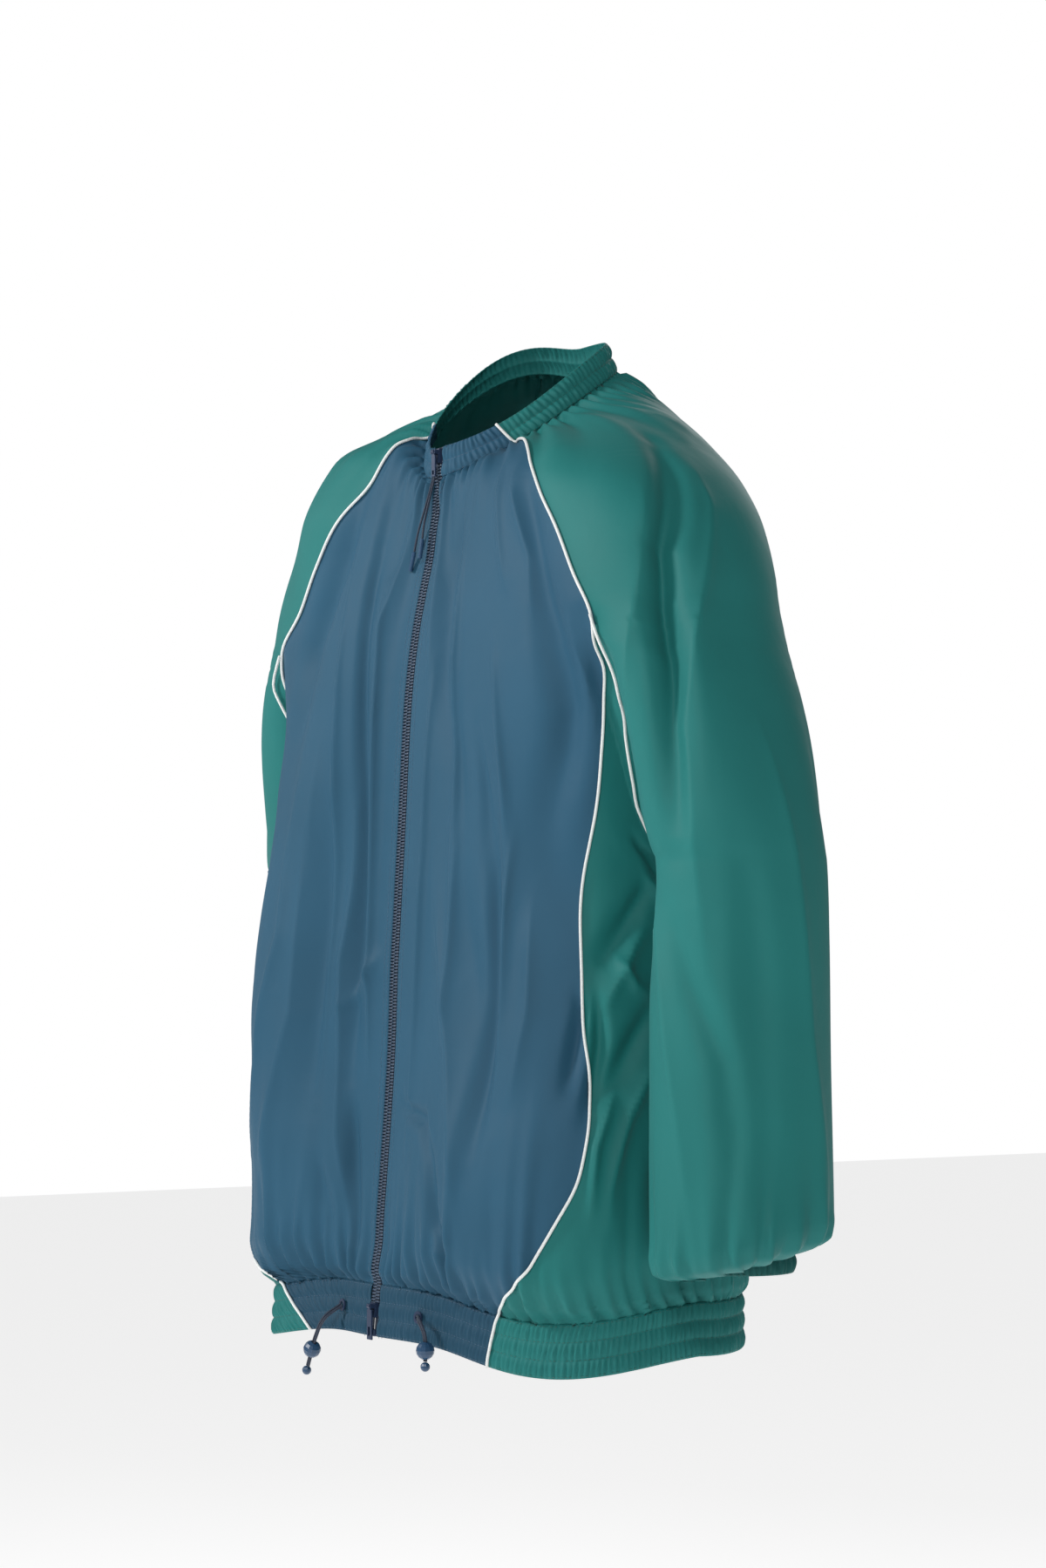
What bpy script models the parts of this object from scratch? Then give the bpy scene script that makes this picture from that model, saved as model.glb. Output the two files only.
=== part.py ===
"""A raglan wind jacket in its worn, hollow form.

The front faces -Y, the wearer's left is +X and +Z is up. The origin is at the middle of the
neck opening, at shoulder height. Tables and sizes are in millimetres and degrees, and UNIT
turns them into metres where a mesh is made.

The cloth is one surface, read ring by ring. Above the underarm a ring runs round the body and
both sleeves. Below it the ring parts into the body and two hanging sleeves. Each panel is the
stretch of those rings between two seams.
"""

import math
from collections import namedtuple

import bmesh
import bpy
import numpy as np
from mathutils import Matrix, Vector

UNIT = 0.001

# Cloth, seams and trim
WALL = 1.5
SEAM_GAP = 0.3
BAND_GAP = 0.8  # a gathered edge beside a band of finer gathers
ZIP_EDGE = 5.2  # from the middle of the zip to the edge of each front
PIPING = 2.2  # diameter
PIPING_LIFT = PIPING / 2 + 0.7
PIPING_CORNER = 0.8  # further out where the front meets the neckband
VALLEY_SIDE = 8.0  # to each side of the armhole seam, where the valley's walls are read
VALLEY_LIFT = 3.0  # the armhole piping's middle above the seam, clear of the cloth at both sides
TAPE_EDGE = 0.8  # from the middle of the zip
TAPE_OUT = 11.5
TAPE_WALL = 1.0
TAPE_GAP = 0.2  # more than the seam's, where the cloth turns sharply
CHAIN_WIDTH = 5.0
CHAIN_THICK = 1.5
CHAIN_PROUD = 0.3  # above the cloth beside it

# Sliders, pull tabs and their pins
SLIDER_WIDTH = 9.0
SLIDER_HEIGHT = 11.0
SLIDER_BACK = 1.0  # behind the cloth's outer surface
SLIDER_FRONT = 2.4  # in front of it
SLIDER_OUTLINE = [  # shares of half its width and half its height
    (-0.8, 1.0), (0.8, 1.0), (1.0, 0.3), (0.62, -1.0), (-0.62, -1.0), (-1.0, 0.3),
]
SLIDER_TAPER = (0.9, 0.92)  # its face against its back, across and up
SLIDER_TOP_UP = 0.7  # how far up the neckband the top slider's middle is
SLIDER_BOTTOM_DOWN = 0.5  # how far down the hem band the bottom slider's middle is
EAR_WALL = 0.9
EAR_GAP = 4.0
EAR_TALL = 3.0
EAR_ROOT = 0.7  # in front of the cloth, inside the slider
EAR_PAST_PIN = 0.5
PIN = 1.2
PIN_UP = 2.6  # the pin above the slider's middle
PIN_OUT = 2.2  # the pin in front of the slider's face
BORE_GAP = 0.3
KNUCKLE = 3.6
KNUCKLE_LENGTH = 3.4
TAB_THICK = 1.5
TAB_START = 2.4  # below the pin
TAB_STRIP_TOP = 0.6  # below the pin, where the strip from knuckle to tab begins
TAB_STRIP_FOOT = 3.8
TAB_ROUNDED = 0.3
TAB_TOP = namedtuple("TabShape", "width length hole_width hole_height hole_down")(
    5.0, 18.0, 2.6, 3.0, 15.0
)
TAB_BOTTOM = namedtuple("TabShape", "width length hole_width hole_height hole_down")(
    6.4, 24.0, 3.0, 6.5, 18.0
)
ZIP_BOX = (8.0, 3.4, 5.0)  # across, deep and high
ZIP_BOX_OUT = 0.2
ZIP_BOX_ROUNDED = 0.6
CUT_PAST = 2.0  # how much longer a cutter is than its hole

# The top tab's loop of cord, and the hem's drawcords with their locks
PULLER_CORD = 1.6
TIP = 3.0
TIP_LENGTH = 14.0
DRAWCORD = 1.8
STRAND_APART = 2.1  # between the middles of two strands
EYELET = 9.0
EYELET_HOLE = 5.0
EYELET_THICK = 1.0
EYELET_DOWN = 0.5  # how far down the hem band
EYELET_STEPS = (-0.1, 0.0, 0.1)  # above and below it, where the band's slope is read
LOCK = 13.0
LOCK_BORE = (5.8, 3.4)
LOCK_FACETS = (12, 8)
END_BALL = 6.8
END_FACETS = (10, 7)
PIN_SIDES = 12
TIP_SIDES = 10
BORE_SIDES = 14

# Heights
NECK_BASE = -18.5
SPLIT = -186.0  # where the side panel's point meets the raglan seam
UNDERARM = -344.0
HEM_TOP = -645.0
HEM_BAND = 37.0
NECKBAND = 22.0
CUFF_TOP = -596.0
CUFF_BAND = 25.0
CUFF_ACROSS = 32.0
CUFF_DEEP = 35.0
BRIDGE_POWER = 6.0  # how sharply the body and the sleeve meet at the armhole
BRIDGE_LOW = 0.7  # how fast the cloth between them sinks to the underarm

# The neck ring is low in front and high behind
NECK_LEAN = 43.6
NECK_DROP = 3.2
NECK_HALF = 65.0
NECK_FRONT = 73.8
NECK_BACK = 70.0
NECK_LEAN_IN = 8.0  # how much narrower the band's top edge is
NECK_LEAN_BACK = 1.5
NECK_SEAM_TURN = 12.0  # how far its seam leans forwards, in degrees

# The hem hangs lowest in front of each side
HEM_DROP = 15.0
HEM_DROP_ANGLE = 62.0
HEM_DROP_SPREAD = 21.0
HEM_BACK_DROP = 3.0
HEM_BACK_FROM = 75.0
HEM_BACK_OVER = 25.0
HEM_DROP_START = -480.0

RING_STEPS = 240

Yoke = namedtuple("Yoke", "z half front back square dip tilt")
YOKE = [
    Yoke(NECK_BASE, 64.5, 73.6, 69.8, 2.0, 0, 1.00),
    Yoke(-25, 94, 74.0, 84, 2.2, 0, 0.90),
    Yoke(-37, 134, 76, 96, 2.6, 2, 0.68),
    Yoke(-57, 176, 81, 108, 3.2, 5, 0.45),
    Yoke(-84, 214, 86, 118, 3.6, 9, 0.25),
    Yoke(-114, 238, 89, 124, 3.6, 9, 0.12),
    Yoke(-150, 254, 94, 125, 3.4, 7, 0.04),
    Yoke(-186, 264, 98, 124, 3.2, 4, 0.0),
    Yoke(-240, 290, 101, 120, 3.2, 1, 0.0),
    Yoke(-344, 317, 106, 116, 3.2, 0, 0.0),
]
BACK_SQUARE = 2.1

Torso = namedtuple("Torso", "z half front back square dip")
TORSO = [
    Torso(-186, 195, 98, 112, 3.0, 4),
    Torso(-240, 192, 101, 114, 3.0, 1),
    Torso(-344, 188, 106, 116, 3.0, 0),
    Torso(-410, 196, 112, 118, 3.1, 2),
    Torso(-480, 205, 122, 120, 3.3, 9),
    Torso(-560, 212, 137, 124, 3.6, 18),
    Torso(-612, 214, 140, 126, 3.6, 17),
    Torso(-636, 213, 130, 122, 3.3, 3),
    Torso(-645, 211, 119, 118, 3.1, -5),
    Torso(-682, 213, 120, 118, 3.1, -8),
]
DIP_WIDTH = 55.0

Sleeve = namedtuple("Sleeve", "z x y sway across deep tilt")
SLEEVE = [  # sway moves the left sleeve forwards and the right one back
    Sleeve(-186, 235, -2, 0, 29, 72, 0),
    Sleeve(-235, 245, 0, 0, 41, 69, 0),
    Sleeve(-285, 253, 2, 0, 50, 66, 0),
    Sleeve(-344, 260, 3, 0, 57, 64, 0),
    Sleeve(-400, 266, 4, 3, 57, 63, 0),
    Sleeve(-480, 273, 4, 8, 57, 63, 3),
    Sleeve(-560, 279, 4, 12, 58, 63, 9),
    Sleeve(-596, 281, 4, 13, 58, 63, 13),
    Sleeve(-609, 281, 4, 13, 54, 59, 13),
    Sleeve(-614, 281, 4, 13, 46, 50, 12),
    Sleeve(-616, 281, 4, 13, 35.4, 38.4, 10),
]
SLEEVE_LOW_SIDE = 60.0  # degrees from the inner side to the front, where the sleeve hangs lowest

Seam = namedtuple("Seam", "z angle")
FRONT_SEAM = [  # raglan seam down to SPLIT, then the front/side seam, as seen from above
    Seam(NECK_BASE, 52), Seam(-25, 56), Seam(-38, 58.5), Seam(-58, 60.7), Seam(-84, 63.3),
    Seam(-114, 64.7), Seam(-150, 66.5), Seam(-186, 69), Seam(-196, 69), Seam(-218, 71.4),
    Seam(-245, 72.9), Seam(-275, 72.6), Seam(-310, 72), Seam(-344, 70.5), Seam(-378, 69),
    Seam(-438, 68.8), Seam(-508, 69.4), Seam(-553, 67.7), Seam(-583, 65), Seam(-608, 62),
    Seam(-638, 57), Seam(-664, 52), Seam(-682, 49),
]
RIGHT_TURN = [  # how much nearer the zip the wearer's right seam lies, as the cloth is worn
    Seam(NECK_BASE, 0), Seam(-25, 6), Seam(-38, 13), Seam(-58, 18), Seam(-84, 16),
    Seam(-114, 13), Seam(-150, 9), Seam(-186, 0), Seam(-625, 0), Seam(-645, 4),
    Seam(-664, 8), Seam(-682, 12),
]
BACK_RAGLAN = [
    Seam(NECK_BASE, 135), Seam(-25, 131), Seam(-38, 128), Seam(-58, 125), Seam(-84, 122),
    Seam(-114, 119), Seam(-150, 117), Seam(-186, 115.5),
]
BACK_SIDE = [Seam(-344, 90), Seam(-410, 96), Seam(-500, 100), Seam(-682, 100)]
ArmSeam = namedtuple("ArmSeam", "z out")
ARM_SEAM = [  # how far out the armhole's seam lies
    ArmSeam(-186, 210), ArmSeam(-196, 212.5), ArmSeam(-218, 208), ArmSeam(-250, 203),
    ArmSeam(-344, 195.5),
]

# The wearer's right front hangs fuller than the left, most round one line down the cloth
Fuller = namedtuple("Fuller", "z lift")
FULLER = [
    Fuller(-20, 0), Fuller(-48, 13), Fuller(-80, 13), Fuller(-120, 6), Fuller(-165, 0),
    Fuller(-186, 0), Fuller(-217, 6), Fuller(-243, 12), Fuller(-296, 29), Fuller(-348, 38),
    Fuller(-410, 38), Fuller(-452, 36), Fuller(-531, 22), Fuller(-610, 15), Fuller(-645, 18),
    Fuller(-682, 20),
]
FULLER_ALONG = 138.0
FULLER_WIDTH = 55.0
NECK_EASE = 30.0  # how far below the neckband the fullness begins

# The wearer's right shoulder is worn higher and further forwards than the left
Raised = namedtuple("Raised", "z up forward")
RAISED = [
    Raised(NECK_BASE, 24, 0), Raised(-25, 28, 0), Raised(-37, 26, 1), Raised(-57, 14, 3),
    Raised(-84, 4, 6), Raised(-114, 0, 9), Raised(-150, 0, 12), Raised(-186, 0, 13),
    Raised(-240, 0, 11), Raised(-344, 0, 0),
]
RAISED_FROM = 12.0  # from the zip
RAISED_OVER = 60.0

# Folds: along is a distance along the ring, from the middle of the front ("body"), of the back
# ("back") or from the sleeve's outermost line, forwards ("sleeve"). Depth is outwards.
Fold = namedtuple("Fold", "area side along0 z0 along1 z1 width depth")
FOLDS = [
    Fold("body", 1, 128, -80, 178, -235, 13, -6),
    Fold("body", 1, 178, -235, 172, -330, 16, -5),
    Fold("body", 1, 172, -330, 200, -420, 14, -3),
    Fold("body", 1, 62, -110, 60, -330, 16, -4),
    Fold("body", 1, 95, -90, 110, -260, 15, 3),
    Fold("body", 1, 48, -360, 75, -560, 20, 4),
    Fold("body", -1, 60, -90, 118, -330, 16, -5),
    Fold("body", -1, 95, -80, 165, -320, 14, 4),
    Fold("body", -1, 85, -300, 130, -600, 20, 5),
    Fold("body", -1, 130, -300, 175, -560, 22, 6),
    Fold("body", -1, 108, -330, 150, -590, 12, -4),
    Fold("sleeve", 0, 62, -70, 74, -330, 13, -6),
    Fold("sleeve", 0, 46, -120, 62, -400, 14, 4),
    Fold("sleeve", 0, -20, -270, -38, -560, 16, 3),
    Fold("sleeve", 0, 20, -240, 40, -330, 14, -3),
    Fold("sleeve", 0, 5, -520, 20, -585, 12, -3),
    Fold("back", 0, 60, -60, 130, -250, 16, -4),
    Fold("back", 0, 30, -90, 45, -420, 18, 3),
    Fold("back", 0, 95, -330, 80, -600, 20, 4),
    Fold("back", 0, 140, -340, 120, -560, 14, -4),
]
FOLD_END = 0.1  # the share of a fold's length where it is at its lowest

# Shirred bands: waves round each band, and channels between its rows of stitches
NECK_FRONT_WAVES = 5
NECK_BACK_WAVES = 20
HEM_FRONT_WAVES = 7
HEM_BACK_WAVES = 27
CUFF_WAVES = 12
PIPING_SIDES = 1  # the tube's bevel steps
WAVE_HEIGHT = 1.3
CHANNEL_PUFF = 1.0

# Where the panels' points are read: heights down the cloth, and columns across it
YOKE_LEVELS = [NECK_BASE, -25, -36, -56, -82, -114, -150, -186]
ARM_LEVELS = [-195, -218, -250, -285, -320, -337, -343]
BODY_LEVELS = [-359, -394, -434, -478, -520, -560, -594, -618, -634, HEM_TOP]
SLEEVE_LEVELS = [-346, -359, -394, -434, -478, -520, -560, -596, -607, -612, -616]
FRONT_COLUMNS = 10
SIDE_COLUMNS = 8
SLEEVE_COLUMNS = 16
BACK_COLUMNS = 8
BESIDE = 3.0  # how far to each side of a point its slope is read
LEVEL_ABOVE = -440.0  # folds rise along the cloth's slope above this
LEVEL_BELOW = -560.0  # and level with the ground below this
CLOTH_SHARP = 40  # degrees between faces that meet in an edge
HARD_SHARP = 35

# The pocket bags, behind the last columns of each front
POCKET_ROWS = (-434, -478, -520, -560)
POCKET_COLUMNS = 5
POCKET_WALL = 1.0

# Cords, in front of the cloth as they hang
Strand = namedtuple("Strand", "label route")
PULLER_STRANDS = [  # from the end of the top tab, in front of the cloth beside the zip
    Strand("a", [(-1.0, -76.9, -64.9), (-1.3, -79.5, -75.0), (-4.5, -82.5, -90.0),
                 (-9.0, -84.5, -104.0), (-13.0, -85.5, -118.0)]),
    Strand("b", [(1.0, -76.9, -64.9), (1.2, -79.5, -75.0), (0.0, -82.2, -87.0),
                 (-1.8, -83.8, -98.0), (-3.0, -84.8, -109.5)]),
]
EYELET_OUT = {1: 56.0, -1: 45.0}  # from the zip, as the cloth is worn
LOCK_ROUTES = {  # from in front of the eyelet, through the lock to the end ball
    1: [(69.0, -132.0, -664.5), (77.5, -132.0, -675.0),
        (78.5, -132.0, -685.3), (78.5, -132.0, -693.0)],
    -1: [(-51.0, -138.0, -673.0), (-60.0, -141.0, -688.0),
         (-66.0, -141.0, -699.4), (-71.5, -141.0, -710.5)],
}
LOCK_POINT = 2  # which point of a route is the lock's middle
PULLER_STEPS = 12
DRAWCORD_STEPS = 13

ColourFinish = namedtuple("ColourFinish", "colour roughness metallic")
FINISHES = {
    "nylon_blue": ColourFinish((0.045, 0.105, 0.185), 0.5, 0.0),
    "nylon_green": ColourFinish((0.012, 0.135, 0.115), 0.5, 0.0),
    "piping_white": ColourFinish((0.85, 0.87, 0.85), 0.6, 0.0),
    "zip_navy": ColourFinish((0.03, 0.06, 0.12), 0.55, 0.0),
    "slider_navy": ColourFinish((0.03, 0.05, 0.10), 0.35, 0.3),
    "cord_navy": ColourFinish((0.02, 0.035, 0.07), 0.7, 0.0),
    "plastic_navy": ColourFinish((0.03, 0.07, 0.15), 0.3, 0.0),
    "cuff_teal": ColourFinish((0.01, 0.06, 0.07), 0.6, 0.0),
}


# ---------------------------------------------------------------- reading the tables


def smooth(rows, column, z):
    """The column's value at height z, on a cubic that never overshoots the rows."""
    heights = np.array([row.z for row in rows], float)
    values = np.array([getattr(row, column) for row in rows], float)
    if z >= heights[0]:
        return values[0]
    if z <= heights[-1]:
        return values[-1]
    steps = np.diff(heights)
    slopes = np.diff(values) / steps
    tangents = np.concatenate([slopes[:1], slopes, slopes[-1:]])
    before, after = tangents[:-1], tangents[1:]
    same_way = before * after > 0
    bends = np.where(same_way, 2 * before * after / np.where(same_way, before + after, 1), 0.0)
    k = int(np.searchsorted(-heights, -z)) - 1
    t = (z - heights[k]) / steps[k]
    rise = values[k] + (values[k + 1] - values[k]) * (3 * t * t - 2 * t**3)
    start_bend = bends[k] * steps[k] * (t - 2 * t * t + t**3)
    end_bend = bends[k + 1] * steps[k] * (t**3 - t * t)
    return float(rise + start_bend + end_bend)


def ease(t):
    t = np.clip(t, 0.0, 1.0)
    return t * t * (3 - 2 * t)


# ---------------------------------------------------------------- the cloth's rings


def oval_depth(x, half, depth, square):
    """Depth of a squared oval at each x, and 0 outside it."""
    inside = np.clip(1 - (np.abs(x) / half) ** square, 0, 1)
    return depth * inside ** (1 / square)


def zip_dip(x, rows, z):
    """The middle of the front, where the zip holds the cloth in."""
    return smooth(rows, "dip", z) * np.exp(-((x / DIP_WIDTH) ** 2))


def body_section(z):
    """x, front y and back y of the body's ring, from the middle to its side."""
    turn = np.linspace(0, math.pi / 2, RING_STEPS + 1)
    half = smooth(TORSO, "half", z)
    x = half * np.sin(turn)
    front = oval_depth(x, half, smooth(TORSO, "front", z), smooth(TORSO, "square", z))
    back = oval_depth(x, half, smooth(TORSO, "back", z), BACK_SQUARE)
    return x, zip_dip(x, TORSO, z) - front, back


def yoke_section(z):
    """x, front y and back y of the ring round body and sleeves, from the middle outwards."""
    turn = np.linspace(0, math.pi / 2, RING_STEPS + 1)
    half = smooth(YOKE, "half", z)
    if z < SPLIT:
        half = smooth(SLEEVE, "x", z) + smooth(SLEEVE, "across", z)
    x = half * np.sin(turn)
    dip = zip_dip(x, YOKE, z)
    squares = {"front": smooth(YOKE, "square", z), "back": BACK_SQUARE}
    whole = {
        side: oval_depth(x, half, smooth(YOKE, side, z), square)
        for side, square in squares.items()
    }
    if z >= SPLIT:
        return x, dip - whole["front"], whole["back"]
    up = (z - UNDERARM) / (SPLIT - UNDERARM)
    joined = math.sqrt(up) * (BRIDGE_LOW + (1 - BRIDGE_LOW) * up**3)
    squares["front"] = smooth(TORSO, "square", z)
    torso_half = smooth(TORSO, "half", z)
    out = smooth(SLEEVE, "x", z)
    sleeve = oval_depth(x - out, smooth(SLEEVE, "across", z), smooth(SLEEVE, "deep", z), 2.0)
    depths = {}
    for side, square in squares.items():
        torso = oval_depth(x, torso_half, smooth(TORSO, side, z), square)
        parted = (torso**BRIDGE_POWER + sleeve**BRIDGE_POWER) ** (1 / BRIDGE_POWER)
        depths[side] = parted + joined * (whole[side] - parted)
    middle = smooth(SLEEVE, "y", z) * ease((x - torso_half) / max(out - torso_half, 1))
    return x, middle + dip - depths["front"], middle + depths["back"]


def neck_rise(angle):
    """How far the tilted neck ring stands above its own middle, at an angle from the front."""
    return -NECK_LEAN * np.cos(angle) - NECK_DROP * np.cos(2 * angle)


def hem_drop(angle):
    """How far the hem hangs below its height at the zip, at an angle from the front."""
    degrees = np.degrees(angle)
    corner = HEM_DROP * np.exp(-(((degrees - HEM_DROP_ANGLE) / HEM_DROP_SPREAD) ** 2))
    return np.maximum(corner, HEM_BACK_DROP * ease((degrees - HEM_BACK_FROM) / HEM_BACK_OVER))


class Ring:
    """One side of a ring of cloth, from the middle of the front to the middle of the back."""

    def __init__(self, z, side=1):
        self.z = z
        self.side = side
        x, front, back = body_section(z) if z <= UNDERARM else yoke_section(z)
        plane = np.concatenate(
            [np.stack([x, front], 1), np.stack([x[-2::-1], back[-2::-1]], 1)]
        )
        self.settle(plane)

    def settle(self, plane):
        steps = np.linalg.norm(np.diff(plane, axis=0), axis=1)
        self.along = np.concatenate([[0.0], np.cumsum(steps)])
        self.plane = plane
        self.angle = np.arctan2(plane[:, 0], -plane[:, 1])
        self.length = self.along[-1]

    def height(self, angle):
        tilt = smooth(YOKE, "tilt", self.z)
        near_hem = float(ease((HEM_DROP_START - self.z) / (HEM_DROP_START - HEM_TOP)))
        return self.z + tilt * neck_rise(angle) - near_hem * hem_drop(angle)

    def at(self, along):
        """Points at distances along the ring. Past either middle they are on the other side."""
        along = np.asarray(along, float)
        inside = np.where(along > self.length, 2 * self.length - along, np.abs(along))
        x = np.interp(inside, self.along, self.plane[:, 0])
        y = np.interp(inside, self.along, self.plane[:, 1])
        z = self.height(np.arctan2(x, -y))
        mirrored = (along < 0) | (along > self.length)
        on_right = mirrored != (self.side < 0)
        raised = np.where(on_right, ease((x - RAISED_FROM) / RAISED_OVER), 0.0)
        y = y - raised * smooth(RAISED, "forward", self.z)
        z = z + raised * smooth(RAISED, "up", self.z)
        return np.stack([np.where(mirrored, -x, x), y, z], 1)

    def along_at_angle(self, degrees):
        """The distance to an angle seen from the ring's middle, nearest to the front or back."""
        wanted = math.radians(degrees)
        if degrees <= 90:
            index = int(np.argmax(self.angle >= wanted))
            return float(np.interp(wanted, self.angle[: index + 1], self.along[: index + 1]))
        last = len(self.angle) - 1 - int(np.argmax(self.angle[::-1] <= wanted))
        return float(np.interp(wanted, self.angle[last:], self.along[last:]))

    def along_at_x(self, out, back=False):
        x = self.plane[:, 0]
        widest = RING_STEPS
        if back:
            return float(np.interp(-out, -x[widest:], self.along[widest:]))
        return float(np.interp(out, x[: widest + 1], self.along[: widest + 1]))


class SleeveRing(Ring):
    """A closed ring of a hanging sleeve, from its inner side forwards and round."""

    def __init__(self, z, side, across=None, deep=None):
        self.z = z
        self.side = side
        self.tilt = smooth(SLEEVE, "tilt", z)
        forward = smooth(SLEEVE, "y", z) - side * smooth(SLEEVE, "sway", z)
        self.middle = Vector((smooth(SLEEVE, "x", z), forward))
        turn = np.linspace(0, 2 * math.pi, 2 * RING_STEPS + 1)
        x = self.middle.x - (across or smooth(SLEEVE, "across", z)) * np.cos(turn)
        y = self.middle.y - (deep or smooth(SLEEVE, "deep", z)) * np.sin(turn)
        self.settle(np.stack([x, y], 1))

    def at(self, along):
        inside = np.mod(along, self.length)
        x = np.interp(inside, self.along, self.plane[:, 0])
        y = np.interp(inside, self.along, self.plane[:, 1])
        turn = np.arctan2(self.middle.y - y, self.middle.x - x)
        low = np.cos(turn - math.radians(SLEEVE_LOW_SIDE))
        return np.stack([x, y, self.z - self.tilt * low], 1)


def fold_lift(area, side, along, z):
    """How far the folds of one area push the cloth outwards."""
    lift = np.zeros_like(z)
    for fold in FOLDS:
        if fold.area != area or fold.side * side < 0:
            continue
        start = np.array([fold.along0, fold.z0], float)
        run = np.array([fold.along1, fold.z1], float) - start
        t = ((along - start[0]) * run[0] + (z - start[1]) * run[1]) / run.dot(run)
        held = np.clip(t, 0, 1)
        away = np.hypot(along - start[0] - held * run[0], z - start[1] - held * run[1])
        swell = np.sin(math.pi * np.clip(held, FOLD_END, 1 - FOLD_END))
        lift += fold.depth * swell * np.exp(-((away / fold.width) ** 2))
    return lift


def fuller_front(along, z):
    """How far the wearer's right front stands out beyond the left one."""
    lift = np.array([smooth(FULLER, "lift", height) for height in z])
    return lift * np.exp(-(((along - FULLER_ALONG) / FULLER_WIDTH) ** 2))


# ---------------------------------------------------------------- grids of cloth points


def outward(middle, beside):
    """Outward directions. Rows run down the cloth and columns run anticlockwise."""
    across = beside[1] - beside[0]
    down = np.gradient(middle, axis=0)
    normals = np.cross(down, across)
    return normals / np.linalg.norm(normals, axis=-1, keepdims=True)


def level_near_hem(normals, z):
    """Folds rise along the cloth's normals, and level with the ground near the hem."""
    upright = ease((z - LEVEL_BELOW) / (LEVEL_ABOVE - LEVEL_BELOW))
    ways = normals * np.stack([np.ones_like(z), np.ones_like(z), upright], -1)
    return ways / np.linalg.norm(ways, axis=-1, keepdims=True)


def cloth_grid(rings, alongs, lift_at):
    """Folded points on rings, and their outward directions. lift_at gives the folds' height."""
    layers = []
    lifts = []
    for shift in (-BESIDE, 0.0, BESIDE):
        places = [np.asarray(along) + shift for along in alongs]
        points = [ring.at(along) for ring, along in zip(rings, places)]
        layers.append(np.array(points))
        lifts.append(np.array([lift_at(*row) for row in zip(rings, places, points)]))
    ways = level_near_hem(outward(layers[1], (layers[0], layers[2])), layers[1][..., 2])
    west, middle, east = (
        layer + ways * lift[..., None] for layer, lift in zip(layers, lifts)
    )
    return middle, outward(middle, (west, east))


def spread(rings, start, end, columns):
    """Evenly spaced distances along each ring between two seams, short of each by half a gap."""
    half_gap = SEAM_GAP / 2
    return [np.linspace(start(ring) + half_gap, end(ring) - half_gap, columns) for ring in rings]


def body_lift(side):
    def lift_at(ring, along, points):
        z = points[:, 2]
        inside = np.where(along > ring.length, 2 * ring.length - along, np.abs(along))
        lift = fold_lift("body", side, inside, z)
        lift += fold_lift("back", side, ring.length - inside, z)
        if side < 0:
            lift += fuller_front(inside, z) * ease((NECK_BASE - ring.z) / NECK_EASE)
        if ring.z > UNDERARM:
            lift += fold_lift("sleeve", side, ring.along[RING_STEPS] - inside, z)
        return lift

    return lift_at


def sleeve_lift(side):
    def lift_at(ring, along, points):
        if ring.z > UNDERARM:
            return body_lift(side)(ring, along, points)
        return fold_lift("sleeve", side, ring.length / 2 - along, points[:, 2])

    return lift_at


def hem_lift(side):
    """The hem band has no folds of its own, but it follows the fuller front."""

    def lift_at(ring, along, points):
        inside = np.where(along > ring.length, 2 * ring.length - along, np.abs(along))
        on_right = (along > ring.length) | (side < 0)
        return np.where(on_right, fuller_front(inside, points[:, 2]), 0.0)

    return lift_at


def no_lift(ring, along, points):
    return np.zeros_like(along)


def body_grid(levels, start, end, columns, side):
    rings = [Ring(z, side) for z in levels]
    return cloth_grid(rings, spread(rings, start, end, columns), body_lift(side))


def sleeve_grid(levels, columns, side):
    rings = [Ring(z, side) if z > UNDERARM else SleeveRing(z, side) for z in levels]
    upper = [ring for ring in rings if ring.z > UNDERARM]
    alongs = spread(upper, sleeve_front, sleeve_back, columns)
    alongs += [np.linspace(0, ring.length, columns) for ring in rings[len(upper) :]]
    return cloth_grid(rings, alongs, sleeve_lift(side))


# ---------------------------------------------------------------- seams


def front_edge(ring):
    return ZIP_EDGE


def front_seam(ring, side=0):
    """The front's outer seam, on the ring's own side or on the wanted one."""
    angle = smooth(FRONT_SEAM, "angle", ring.z)
    if (side or ring.side) < 0:
        angle -= smooth(RIGHT_TURN, "angle", ring.z)
    return ring.along_at_angle(angle)


def arm_front(ring):
    return ring.along_at_x(smooth(ARM_SEAM, "out", ring.z))


def arm_back(ring):
    return ring.along_at_x(smooth(ARM_SEAM, "out", ring.z), back=True)


def sleeve_front(ring):
    return front_seam(ring) if ring.z >= SPLIT else arm_front(ring)


def sleeve_back(ring):
    if ring.z >= SPLIT:
        return ring.along_at_angle(smooth(BACK_RAGLAN, "angle", ring.z))
    return arm_back(ring)


def side_end(ring):
    if ring.z > UNDERARM:
        return arm_front(ring)
    return ring.along_at_angle(smooth(BACK_SIDE, "angle", ring.z))


def back_start(ring):
    if ring.z > UNDERARM:
        return sleeve_back(ring)
    return ring.along_at_angle(smooth(BACK_SIDE, "angle", ring.z))


def back_middle(ring):
    """The middle of the back, with no gap, because one panel runs across it."""
    return ring.length + SEAM_GAP / 2


# ---------------------------------------------------------------- meshes


def material(name):
    found = bpy.data.materials.get(name)
    if found:
        return found
    finish = FINISHES[name]
    made = bpy.data.materials.new(name)
    made.use_nodes = True
    shader = made.node_tree.nodes["Principled BSDF"]
    shader.inputs["Base Color"].default_value = (*finish.colour, 1)
    shader.inputs["Roughness"].default_value = finish.roughness
    shader.inputs["Metallic"].default_value = finish.metallic
    made.diffuse_color = (*finish.colour, 1)
    return made


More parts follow.
